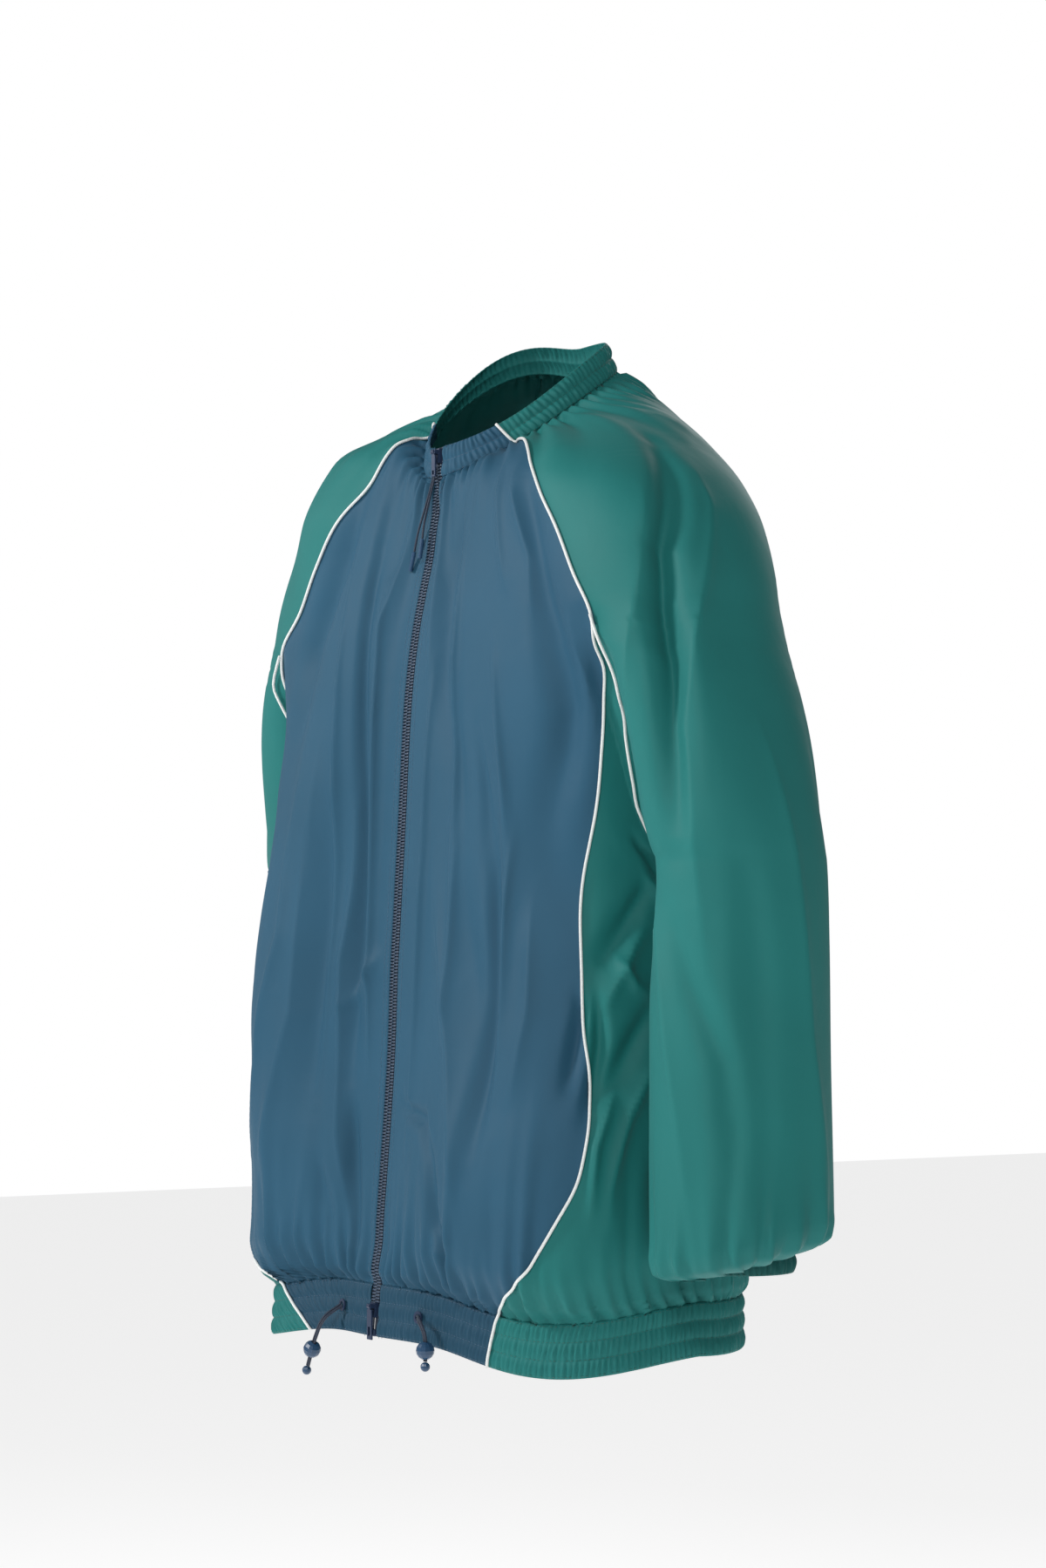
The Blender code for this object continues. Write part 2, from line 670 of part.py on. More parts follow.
def place(name, mesh, finish, smooth_over=CLOTH_SHARP):
    mesh.shade_smooth()
    mesh.set_sharp_from_angle(angle=math.radians(smooth_over))
    piece = bpy.data.objects.new(name, mesh)
    mesh.materials.append(material(finish))
    bpy.context.scene.collection.objects.link(piece)
    return piece


def mirrored(grid):
    """The wearer's right-hand copy of a left-hand grid, still anticlockwise."""
    return grid[:, ::-1] * np.array([-1.0, 1.0, 1.0])


def wall(name, outer, inner, finish, closed_from=None, closed=False):
    """A closed wall between two grids. Rows from closed_from on join end to end."""
    rows, columns = outer.shape[:2]
    first_closed = 0 if closed else (rows if closed_from is None else closed_from)
    shape = bmesh.new()
    layers = []
    for grid in (outer, inner):
        layer = []
        for r in range(rows):
            row = [shape.verts.new(grid[r, c] * UNIT) for c in range(columns - 1)]
            row.append(row[0] if r >= first_closed else shape.verts.new(grid[r, -1] * UNIT))
            layer.append(row)
        layers.append(layer)
    out, into = layers
    for r in range(rows - 1):
        for c in range(columns - 1):
            shape.faces.new((out[r][c], out[r + 1][c], out[r + 1][c + 1], out[r][c + 1]))
            shape.faces.new((into[r][c], into[r][c + 1], into[r + 1][c + 1], into[r + 1][c]))
        if r < first_closed:
            shape.faces.new((out[r][0], into[r][0], into[r + 1][0], out[r + 1][0]))
            shape.faces.new((out[r][-1], out[r + 1][-1], into[r + 1][-1], into[r][-1]))
    for c in range(columns - 1):
        shape.faces.new((out[0][c], out[0][c + 1], into[0][c + 1], into[0][c]))
        shape.faces.new((out[-1][c], into[-1][c], into[-1][c + 1], out[-1][c + 1]))
    mesh = bpy.data.meshes.new(name)
    shape.to_mesh(mesh)
    shape.free()
    return place(name, mesh, finish)


def tube(name, points, diameter, finish, resolution=2):
    """A round cord or piping along points in millimetres."""
    curve = bpy.data.curves.new(name, "CURVE")
    curve.dimensions = "3D"
    curve.bevel_depth = diameter / 2 * UNIT
    curve.bevel_resolution = resolution
    curve.use_fill_caps = True
    spline = curve.splines.new("POLY")
    spline.points.add(len(points) - 1)
    for point, place_at in zip(spline.points, points):
        point.co = (*(np.asarray(place_at) * UNIT), 1)
    curve.materials.append(material(finish))
    piece = bpy.data.objects.new(name, curve)
    bpy.context.scene.collection.objects.link(piece)
    return piece


# ---------------------------------------------------------------- panels


def front_panel(name, side):
    levels = YOKE_LEVELS + ARM_LEVELS + BODY_LEVELS
    points, normals = body_grid(levels, front_edge, front_seam, FRONT_COLUMNS, side)
    return panel_pair(name, points, normals, side, "nylon_blue")


def side_panel(name, side):
    levels = ARM_LEVELS + BODY_LEVELS
    points, normals = body_grid(levels, front_seam, side_end, SIDE_COLUMNS, side)
    return panel_pair(name, points, normals, side, "nylon_green")


def panel_pair(name, points, normals, side, finish, closed_from=None):
    inner = points - normals * WALL
    if side < 0:
        points, inner = mirrored(points), mirrored(inner)
    return wall(name, points, inner, finish, closed_from)


def sleeve_panel(name, side):
    levels = YOKE_LEVELS + ARM_LEVELS + SLEEVE_LEVELS
    points, normals = sleeve_grid(levels, SLEEVE_COLUMNS, side)
    joined = len(YOKE_LEVELS) + len(ARM_LEVELS)
    return panel_pair(name, points, normals, side, "nylon_green", joined)


def back_panel(name):
    levels = YOKE_LEVELS + ARM_LEVELS + BODY_LEVELS
    left, left_out = body_grid(levels, back_start, back_middle, BACK_COLUMNS, 1)
    right, right_out = body_grid(levels, back_start, back_middle, BACK_COLUMNS, -1)
    points = np.concatenate([left, mirrored(right)[:, 1:]], axis=1)
    normals = np.concatenate([left_out, mirrored(right_out)[:, 1:]], axis=1)
    points[:, BACK_COLUMNS - 1, 0] = 0
    return wall(name, points, points - normals * WALL, "nylon_green")


# ---------------------------------------------------------------- shirred bands


def band_rows(channels):
    """Places down a band, at each row of stitches and half-way between them."""
    return np.arange(2 * channels + 1) / (2 * channels)


def shirred_wall(name, rings, start, end, waves, finish, lift_at=no_lift, side=1, closed=False):
    """A band whose outer points rise in gathers between its rows of stitches."""
    columns = 2 * waves + 1
    alongs = [np.linspace(start(ring), end(ring), columns) for ring in rings]
    plain, normals = cloth_grid(rings, alongs, lift_at)
    between = (np.arange(len(rings)) % 2)[:, None, None]
    gather = (np.arange(columns) % 2)[None, :, None]
    lift = between * (CHANNEL_PUFF + WAVE_HEIGHT * gather)
    outer = plain + normals * lift
    inner = plain - normals * WALL
    if side < 0:
        outer, inner = mirrored(outer), mirrored(inner)
    return wall(name, outer, inner, finish, closed=closed)


class NeckRing(Ring):
    """A ring of the neckband, from 0 at its seam to 1 at its top edge."""

    def __init__(self, up, side=1):
        self.side = side
        self.z = NECK_BASE + SEAM_GAP + up * NECKBAND
        turn = np.linspace(0, math.pi / 2, RING_STEPS + 1)
        half = NECK_HALF - NECK_LEAN_IN * up
        x = half * np.sin(turn)
        front = -oval_depth(x, half, NECK_FRONT - NECK_LEAN_BACK * up, 2.0)
        back = oval_depth(x, half, NECK_BACK - NECK_LEAN_IN * up, 2.0)
        self.up = up
        upper = np.stack([x[-2::-1], back[-2::-1]], 1)
        self.settle(np.concatenate([np.stack([x, front], 1), upper]))

    def height(self, angle):
        return self.z + neck_rise(angle)


class HemRing(Ring):
    """A ring of the hem band, from 0 at its seam to 1 at its lower edge."""

    def __init__(self, down, side=1):
        super().__init__(HEM_TOP - BAND_GAP - down * HEM_BAND, side)


class CuffRing(SleeveRing):
    """A ring of the cuff, from 0 at its seam to 1 at its lower edge."""

    def __init__(self, down, side):
        super().__init__(CUFF_TOP, side, CUFF_ACROSS, CUFF_DEEP)
        self.z = CUFF_TOP - down * CUFF_BAND
        self.tilt = 0.0


def after(seam):
    return lambda ring: seam(ring) + SEAM_GAP / 2


def before(seam):
    return lambda ring: seam(ring) - SEAM_GAP / 2


def neck_seam(ring, side=0):
    """The raglan seam across the neckband, which lies at the same place on both sides."""
    return ring.along_at_angle(FRONT_SEAM[0].angle - NECK_SEAM_TURN * ring.up)


def whole_back(seam):
    """The far end of a band that runs round the back to the same seam on the other side."""
    return lambda ring: 2 * ring.length - seam(ring, -1) - SEAM_GAP / 2


def neck_rings(side=1):
    return [NeckRing(up, side) for up in band_rows(2)[::-1]]


def hem_rings(side=1):
    return [HemRing(down, side) for down in band_rows(3)]


def bands():
    for side, label in ((1, "left"), (-1, "right")):
        shirred_wall("neckband_front_" + label, neck_rings(side), front_edge, before(neck_seam),
                     NECK_FRONT_WAVES, "nylon_blue", side=side)
        shirred_wall("hem_front_" + label, hem_rings(side), front_edge, before(front_seam),
                     HEM_FRONT_WAVES, "nylon_blue", hem_lift(side), side)
        cuff = [CuffRing(down, side) for down in band_rows(2)]
        shirred_wall("cuff_" + label, cuff, lambda ring: 0.0, lambda ring: ring.length,
                     CUFF_WAVES, "cuff_teal", side=side, closed=True)
    shirred_wall("neckband_back", neck_rings(), after(neck_seam), whole_back(neck_seam),
                 NECK_BACK_WAVES, "nylon_green")
    shirred_wall("hem_back", hem_rings(), after(front_seam), whole_back(front_seam),
                 HEM_BACK_WAVES, "nylon_green", hem_lift(1))


# ---------------------------------------------------------------- piping and zip


def columns_of(grids, column, side):
    """One column of points and outward directions through stacked grids, on the wanted side."""
    points = np.concatenate([points[:, column] for points, normals in grids])
    normals = np.concatenate([normals[:, column] for points, normals in grids])
    turn = np.array([side, 1.0, 1.0])
    return points * turn, normals * turn


def front_rows(side):
    """Grids down one front: neckband, panel and hem band, as their panels have them."""
    grids = []
    for rings, end, columns, lift_at in (
        (neck_rings(side), before(neck_seam), 2 * NECK_FRONT_WAVES + 1, no_lift),
        ([Ring(z, side) for z in YOKE_LEVELS + ARM_LEVELS + BODY_LEVELS], before(front_seam),
         FRONT_COLUMNS, body_lift(side)),
        (hem_rings(side), before(front_seam), 2 * HEM_FRONT_WAVES + 1, hem_lift(side)),
    ):
        alongs = [np.linspace(ZIP_EDGE, end(ring), columns) for ring in rings]
        grids.append(cloth_grid(rings, alongs, lift_at))
    return grids


def puffed(rows):
    """How far a band's cloth stands out at each of its rows, where no gather rises."""
    return (np.arange(rows) % 2) * CHANNEL_PUFF


def front_piping(name, side):
    """Piping over the raglan seam and the front/side seam, from the neck's edge to the hem's."""
    grids = front_rows(side)
    points, normals = columns_of(grids, -1, side)
    neck, panel, hem = (len(grid[0]) for grid in grids)
    lift = np.concatenate([puffed(neck), np.zeros(panel), puffed(hem)]) + PIPING_LIFT
    lift[neck - 1] += PIPING_CORNER
    normals[neck - 1] += normals[neck]
    normals[neck - 1] /= np.linalg.norm(normals[neck - 1])
    path = points + normals * lift[:, None]
    keep = [k for k in range(len(path)) if k not in (neck, neck + panel - 1)]
    tube(name, path[keep], PIPING, "piping_white", PIPING_SIDES)


def arm_piping(name, side):
    """Piping over the seam between side panel and sleeve, in the valley of the armhole."""
    rings = [Ring(z, side) for z in ARM_LEVELS]
    alongs = [arm_front(ring) + np.array([-VALLEY_SIDE, 0.0, VALLEY_SIDE]) for ring in rings]
    points, normals = cloth_grid(rings, alongs, body_lift(side))
    normals[:, 1] = normals[:, 0] + normals[:, 2]
    normals[:, 1] /= np.linalg.norm(normals[:, 1], axis=1, keepdims=True)
    path, out = columns_of([(points, normals)], 1, side)
    tube(name, path + out * VALLEY_LIFT, PIPING, "piping_white", PIPING_SIDES)


def zip_strip(grids, side, x):
    """Points and outward directions at a distance x from the zip, on the fronts' own planes."""
    edge, edge_out = columns_of(grids, 0, side)
    beyond, beyond_out = columns_of(grids, 1, side)
    share = (x - ZIP_EDGE) / np.linalg.norm(beyond - edge, axis=1)[:, None]
    return edge + share * (beyond - edge), edge_out + share * (beyond_out - edge_out)


def zip_tape(name, side):
    """A strip inside each front's edge, from the neck's edge to the hem's."""
    grids = front_rows(side)
    middle, middle_out = zip_strip(grids, side, TAPE_EDGE)
    far, far_out = zip_strip(grids, side, TAPE_OUT)
    points = np.stack([middle, far], 1)
    normals = np.stack([middle_out, far_out], 1)
    if side < 0:
        points, normals = points[:, ::-1], normals[:, ::-1]
    top = WALL + SEAM_GAP + TAPE_GAP
    return wall(name, points - normals * top, points - normals * (top + TAPE_WALL), "zip_navy")


def zip_line():
    """The middle of the zip down the cloth's outer surface, and its outward directions."""
    left, left_out = zip_strip(front_rows(1), 1, ZIP_EDGE)
    middle = left * np.array([0.0, 1.0, 1.0])
    out = left_out * np.array([0.0, 1.0, 1.0])
    return middle, out / np.linalg.norm(out, axis=1, keepdims=True)


def zip_chain(start, end):
    """The joined teeth as one bar between the sliders."""
    middle, out = zip_line()
    heights = middle[:, 2]
    keep = (heights < start) & (heights > end)
    ends = [on_zip(start), on_zip(end)]
    middle = np.concatenate([[ends[0][0]], middle[keep], [ends[1][0]]])
    out = np.concatenate([[ends[0][1]], out[keep], [ends[1][1]]])
    across = np.array([CHAIN_WIDTH / 2, 0.0, 0.0])
    points = np.stack([middle - across, middle + across], 1)
    normals = np.stack([out, out], 1)
    inner = points + normals * (CHAIN_PROUD - CHAIN_THICK)
    return wall("zip_chain", points + normals * CHAIN_PROUD, inner, "zip_navy")


def on_zip(height):
    """The point on the zip's line at a height, and the outward direction there."""
    middle, out = zip_line()
    heights = middle[::-1, 2]
    point = np.array([np.interp(height, heights, middle[::-1, k]) for k in range(3)])
    normal = np.array([np.interp(height, heights, out[::-1, k]) for k in range(3)])
    return point, normal / np.linalg.norm(normal)


# ---------------------------------------------------------------- hard pieces


def frame_at(point, out):
    """Places things built flat: X across, Y inwards and Z up the cloth."""
    inwards = -Vector(out).normalized()
    across = inwards.cross(Vector((0, 0, 1))).normalized()
    up = across.cross(inwards)
    turn = Matrix((across, inwards, up)).transposed().to_4x4()
    return Matrix.Translation(Vector(point) * UNIT) @ turn


def solid(name, finish, shape, at=None, bevel=0.0):
    """One object from a bmesh in millimetres, placed at a frame."""
    bmesh.ops.scale(shape, verts=shape.verts, vec=(UNIT, UNIT, UNIT))
    bmesh.ops.recalc_face_normals(shape, faces=shape.faces)
    mesh = bpy.data.meshes.new(name)
    shape.to_mesh(mesh)
    shape.free()
    piece = place(name, mesh, finish, HARD_SHARP)
    if at is not None:
        mesh.transform(at)
    if bevel:
        rounded = piece.modifiers.new("rounded", "BEVEL")
        rounded.width = bevel * UNIT
        rounded.segments = 1
        rounded.limit_method = "ANGLE"
    return piece


def box(shape, middle, size):
    made = bmesh.ops.create_cube(shape, size=1.0)["verts"]
    bmesh.ops.scale(shape, verts=made, vec=size)
    bmesh.ops.translate(shape, verts=made, vec=middle)
    return made


def cylinder(shape, middle, diameter, length, axis="Z", sides=16):
    turns = {"X": Matrix.Rotation(math.pi / 2, 3, "Y"), "Y": Matrix.Rotation(math.pi / 2, 3, "X")}
    made = bmesh.ops.create_cone(
        shape, cap_ends=True, segments=sides, radius1=diameter / 2,
        radius2=diameter / 2, depth=length,
    )["verts"]
    if axis in turns:
        bmesh.ops.rotate(shape, verts=made, cent=(0, 0, 0), matrix=turns[axis])
    bmesh.ops.translate(shape, verts=made, vec=middle)
    return made


def combine(target, other, how):
    """A Boolean of one object with a helper that is then hidden as a guide."""
    change = target.modifiers.new(how.lower(), "BOOLEAN")
    change.operation = how
    change.solver = "EXACT"
    change.object = other
    other.hide_render = True
    other.display_type = "WIRE"


def helper(name, shape, at=None):
    return solid(name, "slider_navy", shape, at)


def slider(name, height):
    """A slider body on the zip's line, with two ears and a pin for its tab."""
    point, out = on_zip(height)
    at = frame_at(point, out)
    plate = bmesh.new()
    narrower, shorter = SLIDER_TAPER
    outline = [(x * SLIDER_WIDTH / 2, z * SLIDER_HEIGHT / 2) for x, z in SLIDER_OUTLINE]
    back = [plate.verts.new((x, SLIDER_BACK, z)) for x, z in outline]
    face = [plate.verts.new((x * narrower, -SLIDER_FRONT, z * shorter)) for x, z in outline]
    plate.faces.new(back)
    plate.faces.new(face[::-1])
    for k in range(len(outline)):
        after_k = (k + 1) % len(outline)
        plate.faces.new((back[after_k], back[k], face[k], face[after_k]))
    body = solid(name, "slider_navy", plate, at)
    ears = bmesh.new()
    pin_y = -(SLIDER_FRONT + PIN_OUT)
    tip_y = pin_y - PIN / 2 - EAR_PAST_PIN
    for way in (-1, 1):
        x = way * (EAR_GAP + EAR_WALL) / 2
        ear = (EAR_WALL, -EAR_ROOT - tip_y, EAR_TALL)
        box(ears, (x, (tip_y - EAR_ROOT) / 2, PIN_UP), ear)
    combine(body, helper(name + "_ears", ears, at), "UNION")
    pin = bmesh.new()
    cylinder(pin, (0, pin_y, PIN_UP), PIN, EAR_GAP + EAR_WALL, "X", PIN_SIDES)
    combine(body, helper(name + "_pin", pin, at), "UNION")
    return at @ Vector((0, pin_y * UNIT, PIN_UP * UNIT))


def pull_tab(name, pin_at, form):
    """A tab that hangs on a slider's pin. Its origin is the pin's middle."""
    at = Matrix.Translation(pin_at)
    plate = bmesh.new()
    plate_size = (form.width, TAB_THICK, form.length - TAB_START)
    box(plate, (0, 0, -(form.length + TAB_START) / 2), plate_size)
    tab = solid(name, "slider_navy", plate, bevel=TAB_ROUNDED)
    knuckle = bmesh.new()
    cylinder(knuckle, (0, 0, 0), KNUCKLE, KNUCKLE_LENGTH, "X")
    combine(tab, helper(name + "_knuckle", knuckle, at), "UNION")
    strip = bmesh.new()
    strip_size = (KNUCKLE_LENGTH, TAB_THICK, TAB_STRIP_FOOT - TAB_STRIP_TOP)
    box(strip, (0, 0, -(TAB_STRIP_FOOT + TAB_STRIP_TOP) / 2), strip_size)
    combine(tab, helper(name + "_strip", strip, at), "UNION")
    bore = bmesh.new()
    cylinder(bore, (0, 0, 0), PIN + 2 * BORE_GAP, KNUCKLE_LENGTH + CUT_PAST, "X")
    combine(tab, helper(name + "_bore", bore, at), "DIFFERENCE")
    hole = bmesh.new()
    hole_size = (form.hole_width, TAB_THICK + CUT_PAST, form.hole_height)
    box(hole, (0, 0, -form.hole_down), hole_size)
    combine(tab, helper(name + "_hole", hole, at), "DIFFERENCE")
    tab.location = pin_at
    return tab


def ball(name, diameter, facets, at):
    """A round moulded piece."""
    shape = bmesh.new()
    around, up = facets
    bmesh.ops.create_uvsphere(shape, u_segments=around, v_segments=up, radius=diameter / 2)
    return solid(name, "plastic_navy", shape, at)


def cord_lock(name, middle, run, aside):
    """A ball whose oval bore is turned so that both strands lie across it."""
    run, aside = Vector(run), Vector(aside)
    turn = Matrix((aside, run.cross(aside), run)).transposed().to_4x4()
    at = Matrix.Translation(Vector(middle) * UNIT) @ turn
    lock = ball(name, LOCK, LOCK_FACETS, at)
    cutter = bmesh.new()
    tool = cylinder(cutter, (0, 0, 0), 1.0, LOCK + 2 * CUT_PAST, "Z", BORE_SIDES)
    bmesh.ops.scale(cutter, verts=tool, vec=(*LOCK_BORE, 1.0))
    combine(lock, helper(name + "_bore", cutter, at), "DIFFERENCE")


# ---------------------------------------------------------------- cords


def curve_through(route, count):
    """A smooth curve through a few chosen points, read at evenly spaced places."""
    route = np.array(route, float)
    steps = np.linalg.norm(np.diff(route, axis=0), axis=1)
    places = np.concatenate([[0.0], np.cumsum(steps)])
    slopes = np.gradient(route, places, axis=0)
    read = np.linspace(0, places[-1], count)
    k = np.clip(np.searchsorted(places, read, side="right") - 1, 0, len(steps) - 1)
    t = ((read - places[k]) / steps[k])[:, None]
    span = steps[k][:, None]
    return (
        (2 * t**3 - 3 * t**2 + 1) * route[k]
        + (t**3 - 2 * t**2 + t) * span * slopes[k]
        + (3 * t**2 - 2 * t**3) * route[k + 1]
        + (t**3 - t**2) * span * slopes[k + 1]
    )



def puller_cords():
    """Two strands from the top tab, each with a moulded tip."""
    for strand in PULLER_STRANDS:
        path = curve_through(strand.route, PULLER_STEPS)
        tube("puller_cord_" + strand.label, path, PULLER_CORD, "cord_navy")
        run = path[-1] - path[-2]
        run /= np.linalg.norm(run)
        shape = bmesh.new()
        cylinder(shape, (0, 0, 0), TIP, TIP_LENGTH, "Z", TIP_SIDES)
        middle = path[-1] + run * (TIP_LENGTH / 2 + SEAM_GAP)
        turn = Vector((0, 0, 1)).rotation_difference(Vector(run)).to_matrix().to_4x4()
        at = Matrix.Translation(Vector(middle) * UNIT) @ turn
        solid("cord_tip_" + strand.label, "plastic_navy", shape, at)


def hem_drawcord(side, label):
    """Two strands from an eyelet through a ball lock to an end ball."""
    start, out = eyelet_place(side)
    route = np.array([start + out * EYELET_THICK / 2] + LOCK_ROUTES[side], float)
    path = curve_through(route, DRAWCORD_STEPS)
    run = np.gradient(path, axis=0)
    run /= np.linalg.norm(run, axis=1, keepdims=True)
    aside = np.cross(run, [0.0, 1.0, 0.0])
    aside /= np.linalg.norm(aside, axis=1, keepdims=True)
    for number, way in ((1, -0.5), (2, 0.5)):
        strand = path + aside * way * STRAND_APART
        tube("drawcord_%s_%d" % (label, number), strand, DRAWCORD, "cord_navy")
    lock = np.array(LOCK_ROUTES[side][LOCK_POINT])
    near = int(np.argmin(np.linalg.norm(path - lock, axis=1)))
    cord_lock("cord_lock_" + label, path[near], run[near], aside[near])
    below = path[-1] + run[-1] * (END_BALL / 2 + SEAM_GAP)
    ball("cord_end_" + label, END_BALL, END_FACETS, Matrix.Translation(Vector(below) * UNIT))


def eyelet_place(side):
    """The middle of an eyelet on the hem band's gathers, and its outward direction."""
    rings = [HemRing(EYELET_DOWN + step) for step in EYELET_STEPS]
    along = rings[1].along_at_x(EYELET_OUT[side])
    points, normals = cloth_grid(rings, [[along]] * 3, hem_lift(side))
    turn = np.array([side, 1.0, 1.0])
    out = normals[1, 0] * turn
    lift = CHANNEL_PUFF + WAVE_HEIGHT + 2 * SEAM_GAP + EYELET_THICK / 2
    return points[1, 0] * turn + out * lift, out


def eyelet(side, label):
    """A ring on the hem band where the drawcord comes out."""
    at = frame_at(*eyelet_place(side))
    shape = bmesh.new()
    cylinder(shape, (0, 0, 0), EYELET, EYELET_THICK, "Y")
    made = solid("eyelet_" + label, "slider_navy", shape, at)
    hole = bmesh.new()
    cylinder(hole, (0, 0, 0), EYELET_HOLE, EYELET_THICK + CUT_PAST, "Y", PIN_SIDES)
    combine(made, helper("eyelet_" + label + "_hole", hole, at), "DIFFERENCE")


# ---------------------------------------------------------------- pockets


def pocket(name, side):
    """The pocket's bag behind the slit in the front/side seam, close inside the front."""
    levels = YOKE_LEVELS + ARM_LEVELS + BODY_LEVELS
    points, normals = body_grid(levels, front_edge, front_seam, FRONT_COLUMNS, side)
    rows = [levels.index(level) for level in POCKET_ROWS]
    points = points[rows][:, -POCKET_COLUMNS:]
    normals = normals[rows][:, -POCKET_COLUMNS:]
    if side < 0:
        points, normals = mirrored(points), mirrored(normals)
    top = WALL + SEAM_GAP
    return wall(name, points - normals * top, points - normals * (top + POCKET_WALL), "nylon_blue")


# ---------------------------------------------------------------- build


def zip_and_tabs():
    """The chain between two sliders, each slider's tab and the box at the zip's foot."""
    middle, out = zip_line()
    top = middle[0, 2] - (1 - SLIDER_TOP_UP) * NECKBAND
    bottom = HEM_TOP - BAND_GAP - SLIDER_BOTTOM_DOWN * HEM_BAND
    reach = SLIDER_HEIGHT / 2 + BORE_GAP
    zip_chain(top - reach, bottom + reach)
    pull_tab("pull_tab_top", slider("slider_top", top), TAB_TOP)
    pull_tab("pull_tab_bottom", slider("slider_bottom", bottom), TAB_BOTTOM)
    foot, foot_out = on_zip(middle[-1, 2] + ZIP_BOX[2] / 2)
    shape = bmesh.new()
    box(shape, (0, -ZIP_BOX_OUT, 0), ZIP_BOX)
    solid("zip_box", "slider_navy", shape, frame_at(foot, foot_out), bevel=ZIP_BOX_ROUNDED)


def clear_scene():
    for thing in list(bpy.data.objects):
        bpy.data.objects.remove(thing, do_unlink=True)


def main():
    clear_scene()
    for side, label in ((1, "left"), (-1, "right")):
        front_panel("front_" + label, side)
        side_panel("side_" + label, side)
        sleeve_panel("sleeve_" + label, side)
        front_piping("piping_front_" + label, side)
        arm_piping("piping_arm_" + label, side)
        zip_tape("zip_tape_" + label, side)
        pocket("pocket_" + label, side)
        eyelet(side, label)
        hem_drawcord(side, label)
    back_panel("back")
    bands()
    zip_and_tabs()
    puller_cords()


main()
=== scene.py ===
"""A worn raglan windbreaker in detail, built over the part's own solids in their frame.

Tables are in millimetres and degrees, and lengths become metres where a mesh is made. The front faces
-Y, the wearer's left is +X, and the origin is the middle of the neck opening at shoulder height."""

import math
from collections import namedtuple

import bmesh
import bpy
import numpy as np
from mathutils import Matrix, Vector

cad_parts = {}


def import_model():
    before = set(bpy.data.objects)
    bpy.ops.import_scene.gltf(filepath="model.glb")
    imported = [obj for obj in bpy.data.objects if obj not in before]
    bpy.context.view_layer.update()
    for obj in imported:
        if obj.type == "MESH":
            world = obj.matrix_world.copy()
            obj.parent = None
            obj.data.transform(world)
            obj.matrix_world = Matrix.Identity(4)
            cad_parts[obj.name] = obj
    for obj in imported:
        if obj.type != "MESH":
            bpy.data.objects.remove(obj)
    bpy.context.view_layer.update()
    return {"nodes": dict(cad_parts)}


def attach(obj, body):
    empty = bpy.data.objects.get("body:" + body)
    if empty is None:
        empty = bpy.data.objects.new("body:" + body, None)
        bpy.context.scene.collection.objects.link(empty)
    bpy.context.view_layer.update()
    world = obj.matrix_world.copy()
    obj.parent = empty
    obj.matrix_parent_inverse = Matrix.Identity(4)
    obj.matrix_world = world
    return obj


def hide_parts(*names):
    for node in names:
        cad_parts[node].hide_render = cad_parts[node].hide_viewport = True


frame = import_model()

UNIT = 0.001

SIDES = ((1, "left"), (-1, "right"))

# Cloth, seams and trim
SHELL = 0.8  # the shown cloth's thickness, inwards from the solid's outer surface
SEAM_GAP = 0.3
BAND_GAP = 0.8  # a gathered edge beside a band of finer gathers
ZIP_EDGE = 6.2  # from the middle of the zip to the edge of each front
PIPING = 2.2  # diameter
PIPING_LIFT = PIPING / 2 + 0.4  # the front piping's middle above its seam
PIPING_ROUNDED = 3  # times that small corners are taken out of its path
VALLEY_SIDE = 8.0  # to each side of the armhole seam, where the valley's walls are read
VALLEY_LIFT = 3.0  # the armhole piping's middle above the seam, clear of the cloth at both sides
ARM_PIPING_ABOVE = 5.0  # it starts on the raglan seam, this far above the side panel's point
ARM_PIPING_FROM = 2  # levels below that point, where it follows the armhole
ROUND_SIDES = 10  # of the piping
ASKEW = (0.3, 0.2, 1.0)  # a direction in which no piping starts

# The zip
TAPE_WALL = 0.7
TapeLine = namedtuple("TapeLine", "out sunk")
TAPE_LINES = [  # from the zip's middle, and below the cloth's outer surface
    TapeLine(0.8, 1.1), TapeLine(2.6, 1.3), TapeLine(ZIP_EDGE, 1.8), TapeLine(11.5, 2.6),
]
TAPE_LINE_APART = 3.5  # on the weave
ZIP_ROUNDED = 4  # times that small corners are taken out of the zip's line
TOOTH = (1.35, 5.2, 1.8)  # along the zip, across it and out of it
TOOTH_ROUND = 0.22
TOOTH_APART = 2.3
TOOTH_OUT = 2.6  # from the zip's middle to the middle of each row
TOOTH_SUNK = 0.75
TEETH_TOP = 0.3  # how far down the neckband the upper slider stands
TEETH_BOTTOM = 0.5  # how far down the hem band the lower one stands
SLIDER_HALF = 5.6

# Stitches
STITCH = (2.3, 0.5, 0.34)  # along the row, across it and out of it
STITCH_SIDES = 6
STITCH_APART = 3.1
STITCH_WANDER = 0.06  # how unevenly they are turned
ZIP_STITCH_IN = (1.7, 5.6)  # two rows, from the front's edge
ZIP_STITCH_OUT = 0.05
BAND_STITCH_OUT = 0.1
BAND_STITCH_EDGE = 0.04  # the outermost rows from a band's edges, as a share of its height
BAND_STITCH_READ = 0.03  # above and below a row, where the band's slope is read
BAND_STITCH_STEP = 2.0  # between the points of a row's path

# Pockets, each behind the slit in its front's seam
POCKET_ABOVE = -434.0
POCKET_BELOW = -560.0
POCKET_DEEP = 95.0
POCKET_INSIDE = 1.9  # behind the front's outer surface
POCKET_STEP = 6.0
POCKET_COLUMNS = 16

